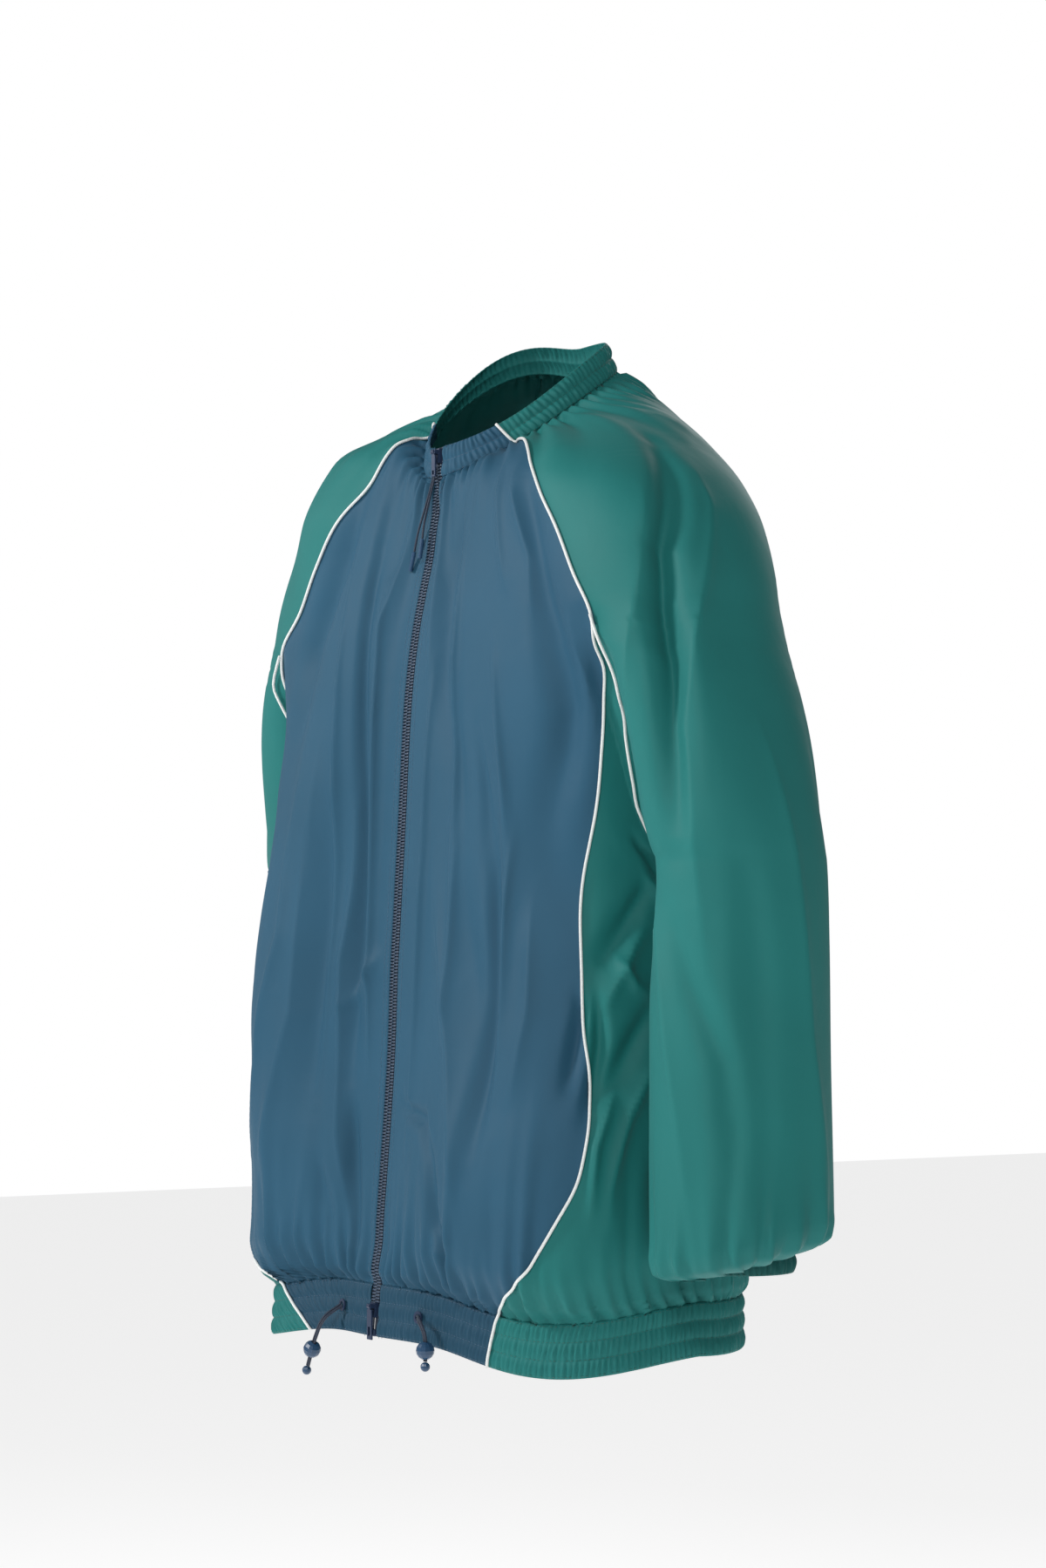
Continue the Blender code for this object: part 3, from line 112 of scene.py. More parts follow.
# Cords
PULLER_CORD = 1.6
DRAWCORD = 1.8
STRAND_APART = 2.1  # between the middles of two strands
EYELET_THICK = 1.0
EYELET_DOWN = 0.5  # how far down the hem band
EYELET_READ = 0.1  # above and below it, where the band's slope is read
SOLID_PUFF = 2.3  # how far the solids' gathers stand out under an eyelet
EYELET_OUT = {1: 56.0, -1: 45.0}  # from the zip, as the cloth is worn
Strand = namedtuple("Strand", "label route")
PULLER_STRANDS = [  # from the end of the top tab, in front of the cloth beside the zip
    Strand("a", [(-1.0, -76.9, -64.9), (-1.3, -79.5, -75.0), (-4.5, -82.5, -90.0),
                 (-9.0, -84.5, -104.0), (-13.0, -85.5, -118.0)]),
    Strand("b", [(1.0, -76.9, -64.9), (1.2, -79.5, -75.0), (0.0, -82.2, -87.0),
                 (-1.8, -83.8, -98.0), (-3.0, -84.8, -109.5)]),
]
LOCK_ROUTES = {  # from in front of the eyelet, through the lock to the end ball
    1: [(69.0, -132.0, -664.5), (77.5, -132.0, -675.0),
        (78.5, -132.0, -685.3), (78.5, -132.0, -693.0)],
    -1: [(-51.0, -138.0, -673.0), (-60.0, -141.0, -688.0),
         (-66.0, -141.0, -699.4), (-71.5, -141.0, -710.5)],
}
PULLER_PLACES = 36  # along each puller cord
DRAWCORD_PLACES = 40

# Points across each panel
FRONT_COLUMNS = 128
SIDE_COLUMNS = 60
SLEEVE_COLUMNS = 170
BACK_COLUMNS = 88

# Rows down each panel, which lie closer where the cloth is gathered
ROW_STEP = 4.0
GATHERED_STEP = 2.2
NECK_STEP = 0.9
CUFF_STEP = 1.6
NECK_FINE_TO = -25.0
YOKE_GATHERED_TO = -60.0
HEM_GATHERED_FROM = -600.0
CUFF_GATHERED_FROM = -590.0
UNDERARM_CLEAR = (1.0, 2.0)  # above and below the underarm, where the rings change

# Heights
NECK_BASE = -18.5
SPLIT = -186.0  # where the side panel's point meets the raglan seam
UNDERARM = -344.0
HEM_TOP = -645.0
HEM_BAND = 37.0
NECKBAND = 22.0
CUFF_TOP = -596.0
CUFF_BAND = 25.0
CUFF_ACROSS = 32.0
CUFF_DEEP = 35.0
SPLIT_EASE = 44.0  # above and below SPLIT, where the sleeve's parting is evened out in front
SPLIT_EASE_BACK = 96.0  # and behind
SPLIT_READS = (-1.0, -0.67, -0.33, 0.0, 0.33, 0.67, 1.0)  # heights that are evened out together
BRIDGE_FROM = 115.0  # from the middle, where the body begins to sink towards the armhole
BRIDGE_OVER = 60.0
BRIDGE_POWER = 6.0  # how sharply the body and the sleeve meet at the armhole
BRIDGE_LOW = 0.70  # how fast the cloth between them sinks to the underarm

# The neck ring is low in front and high behind
NECK_LEAN = 43.6
NECK_DROP = 3.2
NECK_HALF = 65.0
NECK_FRONT = 73.8
NECK_BACK = 70.0
NECK_LEAN_IN = 8.0  # how much narrower the band's top edge is
NECK_LEAN_BACK = 1.5
NECK_SEAM_TURN = 12.0  # how far its seam leans forwards, in degrees

# The hem hangs lowest in front of each side
HEM_DROP = 15.0
HEM_DROP_ANGLE = 62.0
HEM_DROP_SPREAD = 21.0
HEM_BACK_DROP = 3.0
HEM_BACK_FROM = 75.0
HEM_BACK_OVER = 25.0
HEM_DROP_START = -480.0

RING_STEPS = 240

Yoke = namedtuple("Yoke", "z half front back square dip tilt")
YOKE = [
    Yoke(NECK_BASE, 64.5, 73.6, 69.8, 2.0, 0, 1.00),
    Yoke(-25, 94, 74.0, 84, 2.2, 0, 0.90),
    Yoke(-37, 134, 76, 96, 2.6, 2, 0.68),
    Yoke(-57, 176, 81, 108, 3.2, 5, 0.45),
    Yoke(-84, 214, 86, 118, 3.6, 9, 0.25),
    Yoke(-114, 238, 89, 124, 3.6, 9, 0.12),
    Yoke(-150, 254, 94, 125, 3.4, 7, 0.04),
    Yoke(-186, 264, 98, 124, 3.2, 4, 0.0),
    Yoke(-240, 290, 101, 120, 3.2, 1, 0.0),
    Yoke(-344, 317, 106, 116, 3.2, 0, 0.0),
]
BACK_SQUARE = 2.1

Torso = namedtuple("Torso", "z half front back square dip")
TORSO = [
    Torso(-186, 195, 98, 112, 3.0, 4),
    Torso(-240, 192, 101, 114, 3.0, 1),
    Torso(-344, 188, 106, 116, 3.0, 0),
    Torso(-410, 196, 112, 118, 3.1, 2),
    Torso(-480, 205, 122, 120, 3.3, 9),
    Torso(-560, 212, 137, 124, 3.6, 18),
    Torso(-612, 214, 140, 126, 3.6, 17),
    Torso(-636, 213, 130, 122, 3.3, 3),
    Torso(-645, 211, 119, 118, 3.1, -5),
    Torso(-682, 213, 120, 118, 3.1, -8),
]
DIP_WIDTH = 55.0

Sleeve = namedtuple("Sleeve", "z x y sway across deep tilt")
SLEEVE = [  # sway moves the left sleeve forwards and the right one back
    Sleeve(-186, 235, -2, 0, 29, 72, 0),
    Sleeve(-235, 245, 0, 0, 41, 69, 0),
    Sleeve(-285, 253, 2, 0, 50, 66, 0),
    Sleeve(-344, 260, 3, 0, 57, 64, 0),
    Sleeve(-400, 266, 4, 3, 57, 63, 0),
    Sleeve(-480, 273, 4, 8, 57, 63, 3),
    Sleeve(-560, 279, 4, 12, 58, 63, 9),
    Sleeve(-596, 281, 4, 13, 58, 63, 13),
    Sleeve(-609, 281, 4, 13, 54, 59, 13),
    Sleeve(-614, 281, 4, 13, 46, 50, 12),
    Sleeve(-616, 281, 4, 13, 35.4, 38.4, 10),
]
SLEEVE_LOW_SIDE = 60.0  # degrees from the inner side to the front, where the sleeve hangs lowest

Seam = namedtuple("Seam", "z angle")
FRONT_SEAM = [  # raglan seam down to SPLIT, then the front/side seam, as seen from above
    Seam(NECK_BASE, 52), Seam(-25, 56), Seam(-38, 58.5), Seam(-58, 59.0), Seam(-84, 61.0),
    Seam(-114, 64.0), Seam(-150, 66.5), Seam(-186, 69), Seam(-196, 69), Seam(-218, 71.4),
    Seam(-245, 72.9), Seam(-275, 72.6), Seam(-310, 72), Seam(-344, 70.5), Seam(-378, 69),
    Seam(-438, 68.8), Seam(-508, 69.4), Seam(-553, 67.2), Seam(-583, 62.5), Seam(-608, 58.3),
    Seam(-638, 52.5), Seam(-664, 50.2), Seam(-682, 49),
]
RIGHT_TURN = [  # how much nearer the zip the wearer's right seam lies, as the cloth is worn
    Seam(NECK_BASE, 0), Seam(-27, 15), Seam(-40, 18), Seam(-53, 17), Seam(-76, 12), Seam(-94, 10),
    Seam(-118, 9), Seam(-150, 7.5), Seam(-172, 4), Seam(-186, 1.5), Seam(-200, 0), Seam(-625, 0),
    Seam(-645, 3), Seam(-664, 7), Seam(-682, 12),
]
BACK_RAGLAN = [
    Seam(NECK_BASE, 135), Seam(-25, 131), Seam(-38, 128), Seam(-58, 125), Seam(-84, 122),
    Seam(-114, 116.5), Seam(-150, 112.7), Seam(-186, 110),
]
BACK_SIDE = [Seam(-344, 90), Seam(-410, 96), Seam(-500, 100), Seam(-682, 100)]
ArmSeam = namedtuple("ArmSeam", "z out")
ARM_SEAM = [  # how far out the armhole's seam lies
    ArmSeam(-186, 210), ArmSeam(-196, 212.5), ArmSeam(-218, 208), ArmSeam(-250, 203),
    ArmSeam(-344, 195.5),
]

# The wearer's right front hangs fuller than the left, most round one line down the cloth
Fuller = namedtuple("Fuller", "z lift")
FULLER = [
    Fuller(-20, 0), Fuller(-48, 13), Fuller(-80, 13), Fuller(-120, 6), Fuller(-165, 0),
    Fuller(-186, 0), Fuller(-217, 6), Fuller(-243, 12), Fuller(-296, 29), Fuller(-348, 38),
    Fuller(-410, 38), Fuller(-452, 36), Fuller(-531, 22), Fuller(-610, 15), Fuller(-645, 18),
    Fuller(-682, 20),
]
FULLER_ALONG = 138.0
FULLER_WIDTH = 55.0
NECK_EASE = 30.0  # how far below the neckband the fullness begins

# The wearer's right shoulder is worn higher and further forwards than the left
Raised = namedtuple("Raised", "z up forward")
RAISED = [
    Raised(NECK_BASE, 24, 0), Raised(-25, 28, 0), Raised(-37, 26, 1), Raised(-57, 14, 3),
    Raised(-84, 4, 6), Raised(-114, 0, 9), Raised(-150, 0, 12), Raised(-186, 0, 13),
    Raised(-240, 0, 11), Raised(-344, 0, 0),
]
RAISED_FROM = 12.0  # from the zip
RAISED_OVER = 60.0

# Folds: a route's distances are along the ring, from the middle of the front ("body"), of the back
# ("back") or from the sleeve's outermost line, forwards ("sleeve"). Depth is outwards.
Fold = namedtuple("Fold", "area side width depth route")
FOLDS = [
    Fold("body", 1, 15, -7.0, [(118, -66), (125, -79), (141, -118), (156, -157), (168, -187), (178, -223),
                               (182, -244), (177, -271), (160, -316), (169, -353), (176, -380)]),
    Fold("body", 1, 13, -4.0, [(50, -90), (42, -145), (47, -214), (67, -271), (78, -330)]),
    Fold("body", 1, 9, 2.6, [(92, -60), (94, -70), (107, -115), (122, -160)]),
    Fold("body", 1, 8, 2.4, [(112, -70), (116, -88), (141, -136), (150, -180)]),
    Fold("body", 1, 15, 4.5, [(46, -330), (54, -369), (88, -465), (119, -557), (128, -610)]),
    Fold("body", 1, 16, -3.0, [(78, -350), (110, -440), (146, -540)]),
    Fold("body", 1, 6, -2.6, [(22, -508), (25, -517), (67, -525), (84, -552), (98, -585)]),
    Fold("body", 1, 6, -2.8, [(90, -570), (99, -597), (110, -617), (100, -640)]),
    Fold("body", 1, 12, 3.0, [(150, -380), (160, -450), (156, -520)]),
    Fold("body", 1, 6, -2.2, [(192, -436), (197, -449), (198, -510)]),
    Fold("body", 1, 9, 2.4, [(20, -60), (24, -130), (30, -230)]),
    Fold("body", 1, 5, 2.2, [(62, -110), (66, -230), (74, -360), (84, -470)]),
    Fold("body", 1, 6, 2.4, [(34, -200), (36, -330), (40, -450), (44, -560)]),
    Fold("body", 1, 6, 2.4, [(112, -190), (124, -290), (132, -400), (140, -520)]),
    Fold("body", 1, 7, -3.2, [(96, -250), (112, -340), (126, -440), (134, -560)]),
    Fold("body", -1, 14, -6.0, [(64, -26), (80, -82), (98, -127), (127, -181), (134, -250), (125, -330)]),
    Fold("body", -1, 14, 3.6, [(92, -250), (98, -330), (98, -457), (136, -610)]),
    Fold("body", -1, 10, -2.8, [(78, -300), (80, -420), (76, -540)]),
    Fold("body", -1, 34, 5.0, [(132, -290), (150, -400), (176, -570)]),
    Fold("body", -1, 12, 3.2, [(114, -270), (112, -400), (132, -490), (162, -560)]),
    Fold("body", -1, 9, 3.0, [(52, -270), (54, -369), (59, -417), (50, -541), (36, -600)]),
    Fold("body", -1, 7, 2.0, [(60, -452), (36, -432), (14, -406)]),
    Fold("body", -1, 7, -3.0, [(40, -515), (36, -545), (28, -625)]),
    Fold("body", -1, 8, -2.6, [(66, -560), (58, -600), (62, -640)]),
    Fold("body", -1, 9, 2.2, [(20, -60), (26, -120), (44, -200)]),
    Fold("body", -1, 5, 2.4, [(38, -140), (34, -260), (30, -380), (26, -500)]),
    Fold("body", -1, 6, -3.0, [(52, -110), (50, -240), (46, -370), (44, -500)]),
    Fold("body", -1, 6, 2.6, [(74, -130), (72, -260), (70, -390), (76, -520)]),
    Fold("body", 1, 8, -3.0, [(232, -360), (227, -373), (202, -420)]),
    Fold("body", 1, 8, 2.8, [(236, -392), (227, -405), (211, -450)]),
    Fold("body", 1, 9, -3.2, [(250, -440), (240, -465), (222, -515)]),
    Fold("body", 1, 8, 2.6, [(262, -470), (246, -520), (240, -569), (242, -600)]),
    Fold("body", 1, 9, -2.8, [(290, -500), (280, -560), (284, -620)]),
    Fold("body", 1, 4, 1.4, [(228, -300), (244, -318), (256, -340)]),
    Fold("body", 1, 4, -1.6, [(222, -330), (240, -352), (262, -362)]),
    Fold("body", 1, 4, 1.4, [(226, -352), (250, -378), (272, -388)]),
    Fold("body", 1, 5, 2.2, [(214, -412), (232, -432), (250, -440)]),
    Fold("body", 1, 5, -2.4, [(206, -436), (214, -470), (216, -520)]),
    Fold("body", 1, 5, 2.2, [(232, -500), (226, -540), (228, -590)]),
    Fold("body", -1, 8, -3.0, [(236, -366), (216, -410), (204, -470)]),
    Fold("body", -1, 9, 2.8, [(250, -400), (238, -470), (230, -560)]),
    Fold("body", -1, 9, -2.8, [(286, -470), (272, -560), (276, -620)]),
    Fold("sleeve", 1, 11, -9.5, [(6, -55), (17, -79), (47, -136), (53, -172), (55, -211), (67, -256),
                                 (74, -300), (78, -340)]),
    Fold("sleeve", 1, 21, -11.5, [(108, -190), (124, -230), (134, -280), (138, -330), (133, -370),
                                  (128, -400)]),
    Fold("sleeve", 1, 14, 4.2, [(-4, -80), (0, -106), (17, -145), (43, -214), (60, -259), (66, -337),
                                (60, -420)]),
    Fold("sleeve", 1, 10, 1.5, [(46, -95), (52, -115), (59, -139), (74, -181), (93, -226), (101, -275)]),
    Fold("sleeve", 1, 14, 3.4, [(6, -255), (1, -295), (-4, -361), (-13, -465), (-30, -561), (-34, -600)]),
    Fold("sleeve", 1, 15, -3.0, [(34, -330), (26, -420), (22, -520), (12, -590)]),
    Fold("sleeve", 1, 10, -2.6, [(88, -380), (70, -430), (48, -480), (40, -560)]),
    Fold("sleeve", 1, 12, 2.6, [(112, -360), (96, -430), (80, -520), (72, -590)]),
    Fold("sleeve", 1, 14, -3.2, [(-52, -250), (-66, -350), (-74, -470), (-80, -580)]),
    Fold("sleeve", 1, 13, 3.2, [(-96, -300), (-112, -400), (-104, -520), (-110, -600)]),
    Fold("sleeve", 1, 12, -3.4, [(-150, -370), (-146, -450), (-160, -560)]),
    Fold("sleeve", -1, 14, -5.5, [(4, -60), (30, -120), (48, -180), (64, -260), (72, -340)]),
    Fold("sleeve", -1, 13, 3.6, [(-10, -90), (10, -160), (34, -240), (50, -340), (46, -430)]),
    Fold("sleeve", -1, 14, 3.2, [(0, -270), (-8, -380), (-20, -480), (-34, -590)]),
    Fold("sleeve", -1, 14, -3.2, [(40, -350), (30, -450), (24, -540)]),
    Fold("sleeve", -1, 12, 2.8, [(104, -350), (90, -440), (84, -560)]),
    Fold("sleeve", -1, 14, -3.4, [(-60, -260), (-70, -360), (-84, -480), (-88, -590)]),
    Fold("sleeve", -1, 12, 3.2, [(-112, -330), (-120, -430), (-110, -560)]),
    Fold("body", 0, 12, 2.6, [(150, -19), (190, -26), (236, -38), (262, -46)]),
    Fold("back", 1, 14, -5.0, [(40, -30), (66, -80), (108, -160), (138, -260), (146, -330)]),
    Fold("back", 1, 16, 3.6, [(22, -60), (34, -160), (40, -290), (52, -430)]),
    Fold("back", 1, 14, -3.4, [(84, -300), (78, -400), (66, -500), (58, -600)]),
    Fold("back", 1, 15, 3.8, [(116, -330), (104, -430), (96, -540), (90, -620)]),
    Fold("back", 1, 12, -4.0, [(168, -350), (150, -430), (136, -520), (128, -610)]),
    Fold("back", -1, 14, -4.6, [(34, -40), (58, -100), (94, -180), (128, -270), (140, -335)]),
    Fold("back", -1, 15, 3.4, [(10, -100), (18, -220), (14, -350), (6, -480)]),
    Fold("back", -1, 14, -3.2, [(62, -330), (70, -430), (62, -560)]),
    Fold("back", -1, 15, 3.8, [(120, -320), (112, -430), (108, -560), (100, -620)]),
    Fold("back", -1, 12, -3.8, [(172, -360), (156, -450), (144, -600)]),
]

CREST = 0.9  # how far to each side a ridge is rounded
FOLD_CRISP = 10.0  # narrow folds stand this much the higher
FOLD_END = 0.02  # a fold keeps the height that it has this far from its ends
FOLD_SWELL = 0.7  # how soon it reaches its full height
FOLD_WIDTH_START = 0.75  # it widens along its route
FOLD_WIDTH_GAIN = 0.5
RIDGE_WIDTH = 0.65  # beside a trough's

# Gathers: count round one side, how far they reach and how deep they are, from least to most
Gathers = namedtuple("Gathers", "count reach_least reach_most depth_least depth_most width seed")
NECK_GATHERS = Gathers(56, 26, 170, 2.2, 5.0, 1.9, 3)
HEM_GATHERS = Gathers(84, 14, 110, 2.6, 6.5, 2.7, 8)
CUFF_GATHERS = Gathers(34, 14, 80, 2.2, 5.0, 3.2, 5)
GATHER_PLACE = (0.15, 0.85)  # where each lies in its own share of the seam
GATHER_LEAN = 0.10
GATHER_WIDENS = 70.0  # away from the seam, where it is twice as wide
GATHER_FADE = 1.6
GATHER_HOLLOW = -0.8  # every other one is a hollow, and shallower
NECK_RISE = 6.0  # below the seam, where the gathers have come up
NECK_CLEAR = 3.0  # from the middles, along the seam
HEM_RISE = 4.0
HEM_RISE_START = 0.35  # of their height, at the seam
HEM_CLEAR = (8.0, 4.0)  # from the zip and from the middle of the back
CUFF_CLEAR = 4.0  # from the sleeve's inner side
HEM_ROUND = 560.0  # half the hem's seam
SLEEVE_ROUND = 60.0  # the sleeve's radius above its cuff
HEM_NEAR = -440.0  # where the gathers above the hem have faded out
CUFF_NEAR = -450.0
SLEEVE_SEAM_EASE = 18.0  # beside the seam on the sleeve's inner side

# How the cloth's points are read and evened out
BESIDE = 1.5  # how far to each side of a point its slope is read
LEVEL_ABOVE = -440.0  # folds rise square to the cloth above this, and level with the ground
LEVEL_BELOW = -560.0  # below this
EVEN_OVER = 60.0  # above and below the underarm
EVEN_TIMES = 40
SIDE_EVEN = 2.4  # the side panel is evened out from the front to less than half way across
BACK_EVEN = 5.0  # the back is evened out but for the fifth beside its outer edge
Tuck = namedtuple("Tuck", "under deep")
SEAM_TUCK = Tuck(1.6, 0.7)
BAND_TUCK = Tuck(4.5, 1.3)
TUCK_SLOPE = 0.2  # how much a tuck under a band follows the cloth

# Shirred bands: ruffles this far apart and this high, with a puff between the rows of stitches
Band = namedtuple("Band", "channels rows seed")
NECK_BAND = Band(2, 25, 11)
HEM_BAND_FORM = Band(3, 31, 12)
CUFF_BAND_FORM = Band(2, 25, 13)
BAND_OUT = 0.25  # beyond the cloth beside it
RUFFLE_STEP = 1.1  # between the points that draw the ruffles
RUFFLE_APART = 3.9
RUFFLE_HEIGHT = 2.7
PINCHED = 0.18  # a ruffle's height at a row of stitches, as a share
OPENED = 0.82  # what it gains between two rows
CHANNEL_PUFF = 1.1
CHANNEL_POWER = 0.7  # how full the puff is
Ripple = namedtuple("Ripple", "share times")
RIPPLES = [Ripple(0.62, 1.0), Ripple(0.26, 1.63), Ripple(0.20, 0.47)]
WANDER = (0.5, 1.2)  # how far ruffles shift, from least to most
WANDER_APART = 47.0
WANDER_TURN = 2.1
WANDER_DOWN = 2.3  # from one channel to the next
NECK_ROWS = 9  # rings down the neckband that the piping and the zip follow
HEM_ROWS = 13

# Finishes: grains by scale, detail, roughness, distortion and kind, and reliefs in millimetres
WEAVE = 0.55  # from one thread to the next but one
Grain = namedtuple("Grain", "scale detail rough distortion kind", defaults=(2.0, 0.5, 0.0, "FBM"))
CRUMPLE = Grain(26.0, 3.0, 0.45, 0.6)
RIDGES = Grain(17.0, 2.0, 0.5, 0.9, "RIDGED_MULTIFRACTAL")
PATCHES = Grain(9.0)
THREADS = Grain(900.0, 2.0, 0.6)
CORD_GRAIN = Grain(700.0)
HARD_GRAIN = Grain(240.0, 3.0)
WEAR = Grain(60.0, 4.0, 0.65)
FLOOR_GRAIN = Grain(3.0)
Relief = namedtuple("Relief", "strength height")
CRUMPLE_RELIEF = Relief(0.5, 1.6)
RIDGE_RELIEF = Relief(0.25, 0.7)
WEAVE_RELIEF = Relief(0.12, 0.08)
HARD_RELIEF = Relief(0.15, 0.12)
NYLON_ROUGH = (0.50, 0.66)
NYLON_SHADES = (0.86, 1.12)
NYLON_SHEEN = 0.07
NYLON_SHEEN_ROUGH = 0.45
NYLON_SHEEN_TINT = (0.35, 1.5)  # of white and of the cloth's colour
NYLON_SPECULAR = 0.18
THREAD_SHARE = 0.4  # of single threads in the shades, beside the patches
RIB_RELIEFS = (0.5, 0.35)  # across and along
RIB_ALONG = 1.7
RIB_DARK = 0.72
RIB_ROUGH = 0.06  # to each side of the middle roughness
WORN_LIGHT = 1.35
WORN_ROUGH = (-0.08, 0.10)
WAVE_RADIANS = 20.0  # how far a wave turns in one unit of its scale
BLUE = (0.019, 0.078, 0.133)
GREEN = (0.013, 0.150, 0.142)
NAVY = (0.012, 0.026, 0.058)
HEM_PAINTED_SHADE = 0.72  # painted shade: the fronts' gathered hem band is made darker than their panels, for the shade under its gathers
CUFF_SHADE = 0.62

# Solids that keep their own shape, by finish
HARD_NODES = {
    "slider_navy": ["slider_top", "slider_bottom", "pull_tab_top", "pull_tab_bottom", "zip_box",
                    "eyelet_left", "eyelet_right"],
    "plastic_navy": ["cord_tip_a", "cord_tip_b", "cord_lock_left", "cord_lock_right",
                     "cord_end_left", "cord_end_right"],
}

# Camera, light and floor, in metres and degrees
VIEW_TURN = 57.0
VIEW_AWAY = 2.5
VIEW_HEIGHT = -0.410
LENS = 78.04
SENSOR = 36.0
SHIFT_UP = 0.1087
VIEW_REACH = 50.0
FLOOR = -1.50
FLOOR_REACH = 12.0
FLOOR_GLOW = 0.70
FLOOR_COLOUR = (0.93, 0.93, 0.93)
FLOOR_DARK = 0.985  # of its colour, in the darkest grain
FLOOR_ROUGH = 0.6
SKY_LIGHT = 0.20
Lamp = namedtuple("Lamp", "turn height away size power")
LAMPS = [
    Lamp(-18, 0.9, 2.4, 0.5, 46),
    Lamp(46, 0.9, 2.6, 0.6, 28),
    Lamp(118, 0.7, 2.6, 1.0, 3),
    Lamp(215, 1.2, 2.8, 1.6, 18),
    Lamp(300, 0.7, 2.8, 1.4, 8),
]
LAMP_AIM = (0, 0, -0.35)

# ---------------------------------------------------------------- reading the tables


def smooth(rows, column, z):
    """The column's value at each height z, on a cubic that never overshoots the rows."""
    heights = np.array([row.z for row in rows], float)
    values = np.array([getattr(row, column) for row in rows], float)
    held = np.clip(z, heights[-1], heights[0])
    steps = np.diff(heights)
    slopes = np.diff(values) / steps
    tangents = np.concatenate([slopes[:1], slopes, slopes[-1:]])
    before_row, after_row = tangents[:-1], tangents[1:]
    same_way = before_row * after_row > 0
    total = np.where(same_way, before_row + after_row, 1)
    bends = np.where(same_way, 2 * before_row * after_row / total, 0.0)
    k = np.clip(np.searchsorted(-heights, -held) - 1, 0, len(steps) - 1)
    t = (held - heights[k]) / steps[k]
    rise = values[k] + (values[k + 1] - values[k]) * (3 * t * t - 2 * t**3)
    start_bend = bends[k] * steps[k] * (t - 2 * t * t + t**3)
    end_bend = bends[k + 1] * steps[k] * (t**3 - t * t)
    return rise + start_bend + end_bend


def ease(t):
    t = np.clip(t, 0.0, 1.0)
    return t * t * (3 - 2 * t)


# ---------------------------------------------------------------- the cloth's rings


def oval_depth(x, half, depth, square):
    """Depth of a squared oval at each x, and 0 outside it."""
    inside = np.clip(1 - (np.abs(x) / half) ** square, 0, 1)
    return depth * inside ** (1 / square)


def zip_dip(x, rows, z):
    """The middle of the front, where the zip holds the cloth in."""
    return smooth(rows, "dip", z) * np.exp(-((x / DIP_WIDTH) ** 2))


def body_section(z):
    """x, front y and back y of the body's ring, from the middle to its side."""
    turn = np.linspace(0, math.pi / 2, RING_STEPS + 1)
    half = smooth(TORSO, "half", z)
    x = half * np.sin(turn)
    front = oval_depth(x, half, smooth(TORSO, "front", z), smooth(TORSO, "square", z))
    back = oval_depth(x, half, smooth(TORSO, "back", z), BACK_SQUARE)
    return x, zip_dip(x, TORSO, z) - front, back


def yoke_section(z):
    """x, front y and back y of the ring round body and sleeves, from the middle outwards."""
    turn = np.linspace(0, math.pi / 2, RING_STEPS + 1)
    half = smooth(YOKE, "half", z)
    if z < SPLIT:
        half = smooth(SLEEVE, "x", z) + smooth(SLEEVE, "across", z)
    x = half * np.sin(turn)
    dip = zip_dip(x, YOKE, z)
    squares = {"front": smooth(YOKE, "square", z), "back": BACK_SQUARE}
    whole = {
        side: oval_depth(x, half, smooth(YOKE, side, z), square)
        for side, square in squares.items()
    }
    if z >= SPLIT:
        return x, dip - whole["front"], whole["back"]
    up = (z - UNDERARM) / (SPLIT - UNDERARM)
    at_armhole = ease((x - BRIDGE_FROM) / BRIDGE_OVER)
    sinking = BRIDGE_LOW + (1 - BRIDGE_LOW) * up**3
    joined = (1 - at_armhole) * ease(up) + at_armhole * math.sqrt(up) * sinking
    squares["front"] = smooth(TORSO, "square", z)
    torso_half = smooth(TORSO, "half", z)
    out = smooth(SLEEVE, "x", z)
    sleeve = oval_depth(x - out, smooth(SLEEVE, "across", z), smooth(SLEEVE, "deep", z), 2.0)
    depths = {}
    for side, square in squares.items():
        torso = oval_depth(x, torso_half, smooth(TORSO, side, z), square)
        parted = (torso**BRIDGE_POWER + sleeve**BRIDGE_POWER) ** (1 / BRIDGE_POWER)
        depths[side] = parted + joined * (whole[side] - parted)
    middle = smooth(SLEEVE, "y", z) * ease((x - torso_half) / max(out - torso_half, 1))
    return x, middle + dip - depths["front"], middle + depths["back"]


def evened_out(z, over):
    """The mean of the yoke's rings a little above and below, where the sleeves begin to part from it."""
    reach = over / 2 * ease(1 - abs(z - SPLIT) / over)
    sections = [yoke_section(z + reach * share) for share in SPLIT_READS]
    return [sum(parts) / len(parts) for parts in zip(*sections)]


def eased_section(z):
    """The yoke's ring, whose back parts from the sleeves more slowly than its front."""
    if abs(z - SPLIT) > SPLIT_EASE_BACK:
        return yoke_section(z)
    x, front, _ = evened_out(z, SPLIT_EASE)
    return x, front, evened_out(z, SPLIT_EASE_BACK)[2]


def neck_rise(angle):
    """How far the tilted neck ring stands above its own middle, at an angle from the front."""
    return -NECK_LEAN * np.cos(angle) - NECK_DROP * np.cos(2 * angle)


def hem_drop(angle):
    """How far the hem hangs below its height at the zip, at an angle from the front."""
    degrees = np.degrees(angle)
    corner = HEM_DROP * np.exp(-(((degrees - HEM_DROP_ANGLE) / HEM_DROP_SPREAD) ** 2))
    return np.maximum(corner, HEM_BACK_DROP * ease((degrees - HEM_BACK_FROM) / HEM_BACK_OVER))


